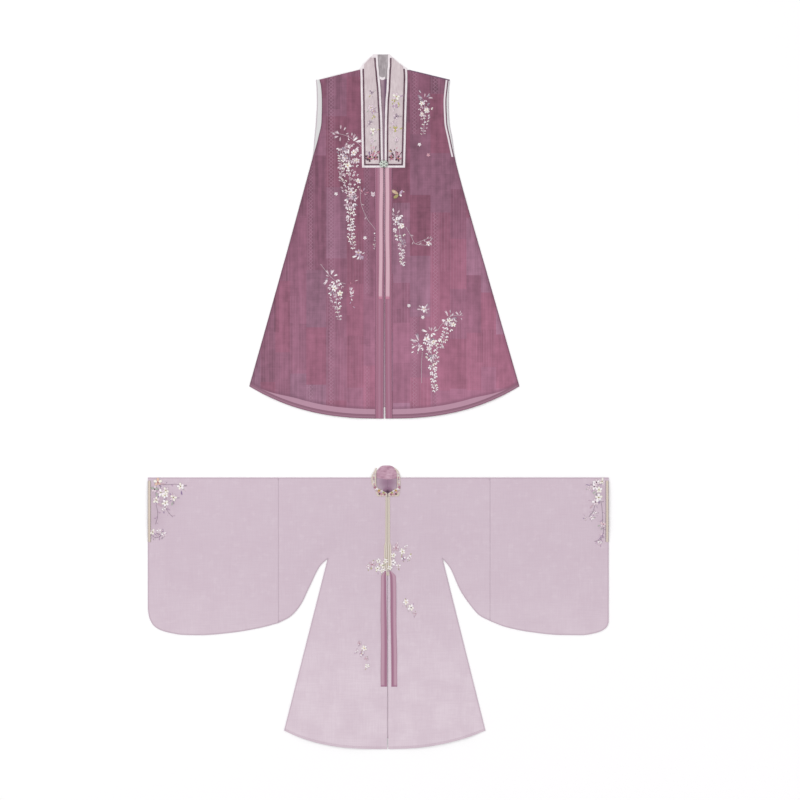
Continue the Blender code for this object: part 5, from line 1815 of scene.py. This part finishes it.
def sew_cuff(name):
    side, (sleeve, trim) = SIDES[name], sleeves[name]
    tones = (LILAC, GREY, LEAF, SAGE, VIOLET)
    s = Sampler(f"cuff_flowers_{name}", "robe", [sleeve, trim], 47 + side)
    cuff = ROBE_HALF[name][4]
    for away, down, size, petal, ring, heart in CUFF_FLOWERS[name]:
        u = side * (cuff - away)
        inwards = (5, 85) if side < 0 else (275, 355)  # so that no leaf passes an edge
        spread_over = inwards if away < 42 or down < 50 else (20, 340)
        s.fan((u, down), 1.1 * size, spread_over, 5, 1.2 * size, tones)
        s.blossom(u, down, size, petal, heart, turn=away, ring=ring)
    for line in CUFF_STEMS[name]:
        line = [(side * (cuff - away), down) for away, down in line]
        s.vine(line, GREY, [(0.35, 1), (0.6, -1), (0.85, 1)], 14, LILAC)
    return s.sew()


def sew_closure(name):
    cloth_pieces = [robe_bodies[name], robe_plackets[name]]
    s = Sampler(f"closure_flowers_{name}", "robe", cloth_pieces, 61 + SIDES[name])
    for u, d, size, petal, heart in CLOSURE_FLOWERS[name]:
        s.blossom(u, d, size, petal, heart, turn=u, ring=PALE if petal == BLUSH else WHITE)
        s.fan((u, d + 2), size, (0, 330), 3, 0.9 * size, (OLIVE, LIME, PALE, SAGE, LILAC))
    return s.sew()


def sew_robe_collar(name):
    side, edges = SIDES[name], robe_collar_edges(name, 3)
    s = Sampler(f"robe_collar_flowers_{name}", "robe", [robe_collars[name]], 71 + side)
    tones = (ROSE, WHITE, GOLD, LILAC, PINK, DEEP, WHITE, LIME)
    for k, down in enumerate(np.arange(-14, 62, 6)):
        u = side * band_middle(edges, down)
        small = (PALE, WHITE, PINK, LILAC)[k % 4]
        size, petal = (3.6, small) if down < 34 else (6, tones[k % 8])
        s.blossom(u + s.chance.uniform(-1.5, 1.5), down, size, petal, tones[(k + 3) % 8])
        if down > 40:
            s.blossom(u - side * 10, down + 1, 5, tones[(k + 4) % 8], DEEP)
            s.blossom(u + side * 7.5, down - 1, 5, tones[(k + 1) % 8], GOLD)
    return s.sew()


def cast_flower():
    """The relief of the clasp: petals, a ring of dark dots and a stud in the middle."""
    s = Sampler("clasp_relief", "vest", [clasp], 5)
    corners = np.array([clasp.matrix_world @ Vector(corner) for corner in clasp.bound_box]) / MM
    centre = corners.mean(axis=0)
    u, d = centre[0] - ORIGINS["vest"][0], ORIGINS["vest"][1] - centre[1]
    radius = np.ptp(corners[:, 0]) / 2
    for k in range(6):
        turn = 60 * k + 30
        s.put(s.petals, u, d, turn, 0.9 * radius, 0.62 * radius, 1.2, "#b7c0b6", -0.4)
        dot = around((u, d), turn + 30, 0.62 * radius, 0.62 * radius)
        s.bead(s.pearls, *dot, 0.16 * radius)
    s.bead(s.gilt, u, d, 0.2 * radius)
    petals = s.sew_points(s.petals, "_petals", 0.1, 0.5, clasp_petals, 10)
    dots = s.sew_points(s.gilt + s.pearls, "_dots", 0.0, 0.0, clasp_dots)
    return petals + dots


cast_flower()
collar_flowers = {name: sew_collar(name) for name in SIDES}
cuff_flowers = {name: sew_cuff(name) for name in SIDES}
closure_flowers = {name: sew_closure(name) for name in SIDES}
robe_collar_flowers = {name: sew_robe_collar(name) for name in SIDES}

# %% [markdown]
# ## Topstitching
# Hems, plackets, collar borders and cuffs are held by running stitch. A real
# stitch is 2.5 mm long and a thread 0.3 mm wide; here it is 3.8 mm and 0.8 mm, so that it
# can be seen in a picture of the whole set. The stitches follow lines that are dropped on
# the cloth.

# %% Stitches
def stitching(name, garment, piece, lines, thread):
    obj = lines_mesh(name, garment, surface_of([piece]), lines, STITCH_LIFT)
    return keep(run_tree(obj, STITCHES, Thread=thread))


def sew_vest_lines(name):
    side = SIDES[name]
    edges = collar_edges(name, 10)
    straight = edges[edges[:, 0] > 0]
    border = [
        [(side * (o - 2.2), d) for d, _i, o, _u in straight if d < VEST_COLLAR_END - 3],
        [(side * (o - 6.2), d) for d, _i, o, _u in straight if d < VEST_COLLAR_END - 7],
        [(side * (i + 2.2), d) for d, i, _o, _u in straight if 60 < d < VEST_COLLAR_END - 20],
    ]
    rows = flowing(VEST_FRONT[name], 12)
    rows = rows[rows[:, 1] > VEST_COLLAR_END + 6]
    width = PLACKET_WIDTHS[name]
    strips = []
    for inset in (2, width - 2.2):
        line = [(side * (row[0] + inset), row[1] - 2 * (row[1] > 1250)) for row in rows]
        strips.append([p for p in line if inset > 20 or p[1] > 840])
    last = VEST_FRONT[name][-1]
    share = np.linspace(0.07, 0.985, 70)
    hem_across, hem_down = mix(last[0], last[2], share), mix(last[1], last[3], share ** last[4])
    hem = [[(side * a, d - 14.6) for a, d in zip(hem_across, hem_down)]]
    return (
        stitching(f"collar_stitches_{name}", "vest", collars[name][0], border, sewing_white),
        stitching(f"placket_stitches_{name}", "vest", plackets[name], strips, sewing_plum),
        stitching(f"hem_stitches_{name}", "vest", vest_fronts[name], hem, sewing_plum),
    )


def sew_robe_lines(name):
    side = SIDES[name]
    _underarm, hem_across, hem_down, hem_bow, cuff = ROBE_HALF[name]
    share = np.linspace(0.02, 0.985, 60)
    across = mix(ROBE_HEM_SPLIT, hem_across, share)
    down = mix(ROBE_LENGTH, hem_down, share**hem_bow)
    hem = [[(side * a, d - 8.4) for a, d in zip(across, down)]]
    downs = np.linspace(12, CUFF_OPENING - 3, 24)
    cuffs = [[(side * (cuff - inset), d) for d in downs] for inset in (2, 9)]
    return (
        stitching(f"robe_hem_stitches_{name}", "robe", robe_bodies[name], hem, sewing_lilac),
        stitching(f"cuff_stitches_{name}", "robe", sleeves[name][1], cuffs, sewing_white),
    )


vest_lines = {name: sew_vest_lines(name) for name in SIDES}
robe_lines = {name: sew_robe_lines(name) for name in SIDES}
shown = [o for o in bpy.data.objects if o.type == "MESH" and not o.hide_render]
print("faces shown", sum(len(o.data.polygons) for o in shown))

# %% [markdown]
# ## The flat cuts
# For every sheet, the width and length of its flat cut, as measured from its grid, are
# rounded up to whole millimetres.

# %% Sheets
def declare(obj):
    width, length, area = cuts[obj.name]
    width, length = (math.ceil(value * 1000) / 1000 for value in (width, length))


declare(vest_back)
declare(collar_back)
declare(robe_collar_back)
for name in SIDES:
    band, panel, piping = collars[name]
    declare(vest_fronts[name])
    declare(facings[name])
    declare(band)
    declare(panel)
    declare(plackets[name])
    declare(vest_ties[name])
    sleeve, cuff_trim = sleeves[name]
    body = robe_bodies[name]
    declare(body)
    declare(sleeve)
    declare(cuff_trim)
    declare(robe_collars[name])
    declare(robe_plackets[name])
    declare(robe_ties[name])
print("pieces cut", len(cuts))

# %% [markdown]
# ## Floor, light and camera
# The photograph is a flat product picture on white: the camera looks straight down, the
# light comes from everywhere, and there is hardly any shadow. A long lens high above keeps
# the outline true. A pale floor, a white sky and two large soft panels give that light,
# and the panels' slant still shows the folds a little.

# %% Stage
FLOOR_HALF, FLOOR_HEIGHT = 14, -0.0004
VIEW_CENTRE, VIEW_WIDTH = (0.07815, 0.0060), 2.88  # what the photograph looks at, in metres
LENS, SENSOR = 85, 36
SKY_STRENGTH = 0.79


def build_floor():
    material, shader = plain_material("matt_white_paper")
    shader.inputs["Base Color"].default_value = linear("#fbfafb")
    shader.inputs["Roughness"].default_value = 0.9
    shader.inputs["Specular IOR Level"].default_value = 0.1
    corners = [
        (x * FLOOR_HALF, y * FLOOR_HALF, FLOOR_HEIGHT)
        for x, y in ((-1, -1), (1, -1), (1, 1), (-1, 1))
    ]
    mesh = bpy.data.meshes.new("floor")
    mesh.from_pydata(corners, [], [(0, 1, 2, 3)])
    mesh.materials.append(material)
    floor = bpy.data.objects.new("floor", mesh)
    bpy.context.scene.collection.objects.link(floor)


def build_light():
    world = bpy.data.worlds.new("white_room")
    bpy.context.scene.world = world
    world.use_nodes = True
    sky = world.node_tree.nodes["Background"]
    sky.inputs[0].default_value = (1, 1, 1, 1)
    sky.inputs[1].default_value = SKY_STRENGTH
    for name, spot, size, power in (
        ("panel_left", (-4.5, 3, 5), 4, 171),
        ("panel_right", (5, -2, 5.5), 4.5, 81),
    ):
        lamp = bpy.data.lights.new(name, "AREA")
        lamp.shape, lamp.size, lamp.energy = "SQUARE", size, power
        obj = bpy.data.objects.new(name, lamp)
        obj.location = spot
        obj.rotation_mode = "QUATERNION"
        obj.rotation_quaternion = (-Vector(spot)).to_track_quat("-Z", "Y")
        bpy.context.scene.collection.objects.link(obj)


def build_camera():
    data = bpy.data.cameras.new("camera")
    data.lens, data.sensor_width = LENS, SENSOR
    camera = bpy.data.objects.new("camera", data)
    camera.location = (*VIEW_CENTRE, VIEW_WIDTH * LENS / SENSOR)
    bpy.context.scene.collection.objects.link(camera)
    bpy.context.scene.camera = camera


build_floor()
build_light()
build_camera()
bpy.context.scene.view_settings.view_transform = "Standard"
print("camera height in m", round(VIEW_WIDTH * LENS / SENSOR, 2))
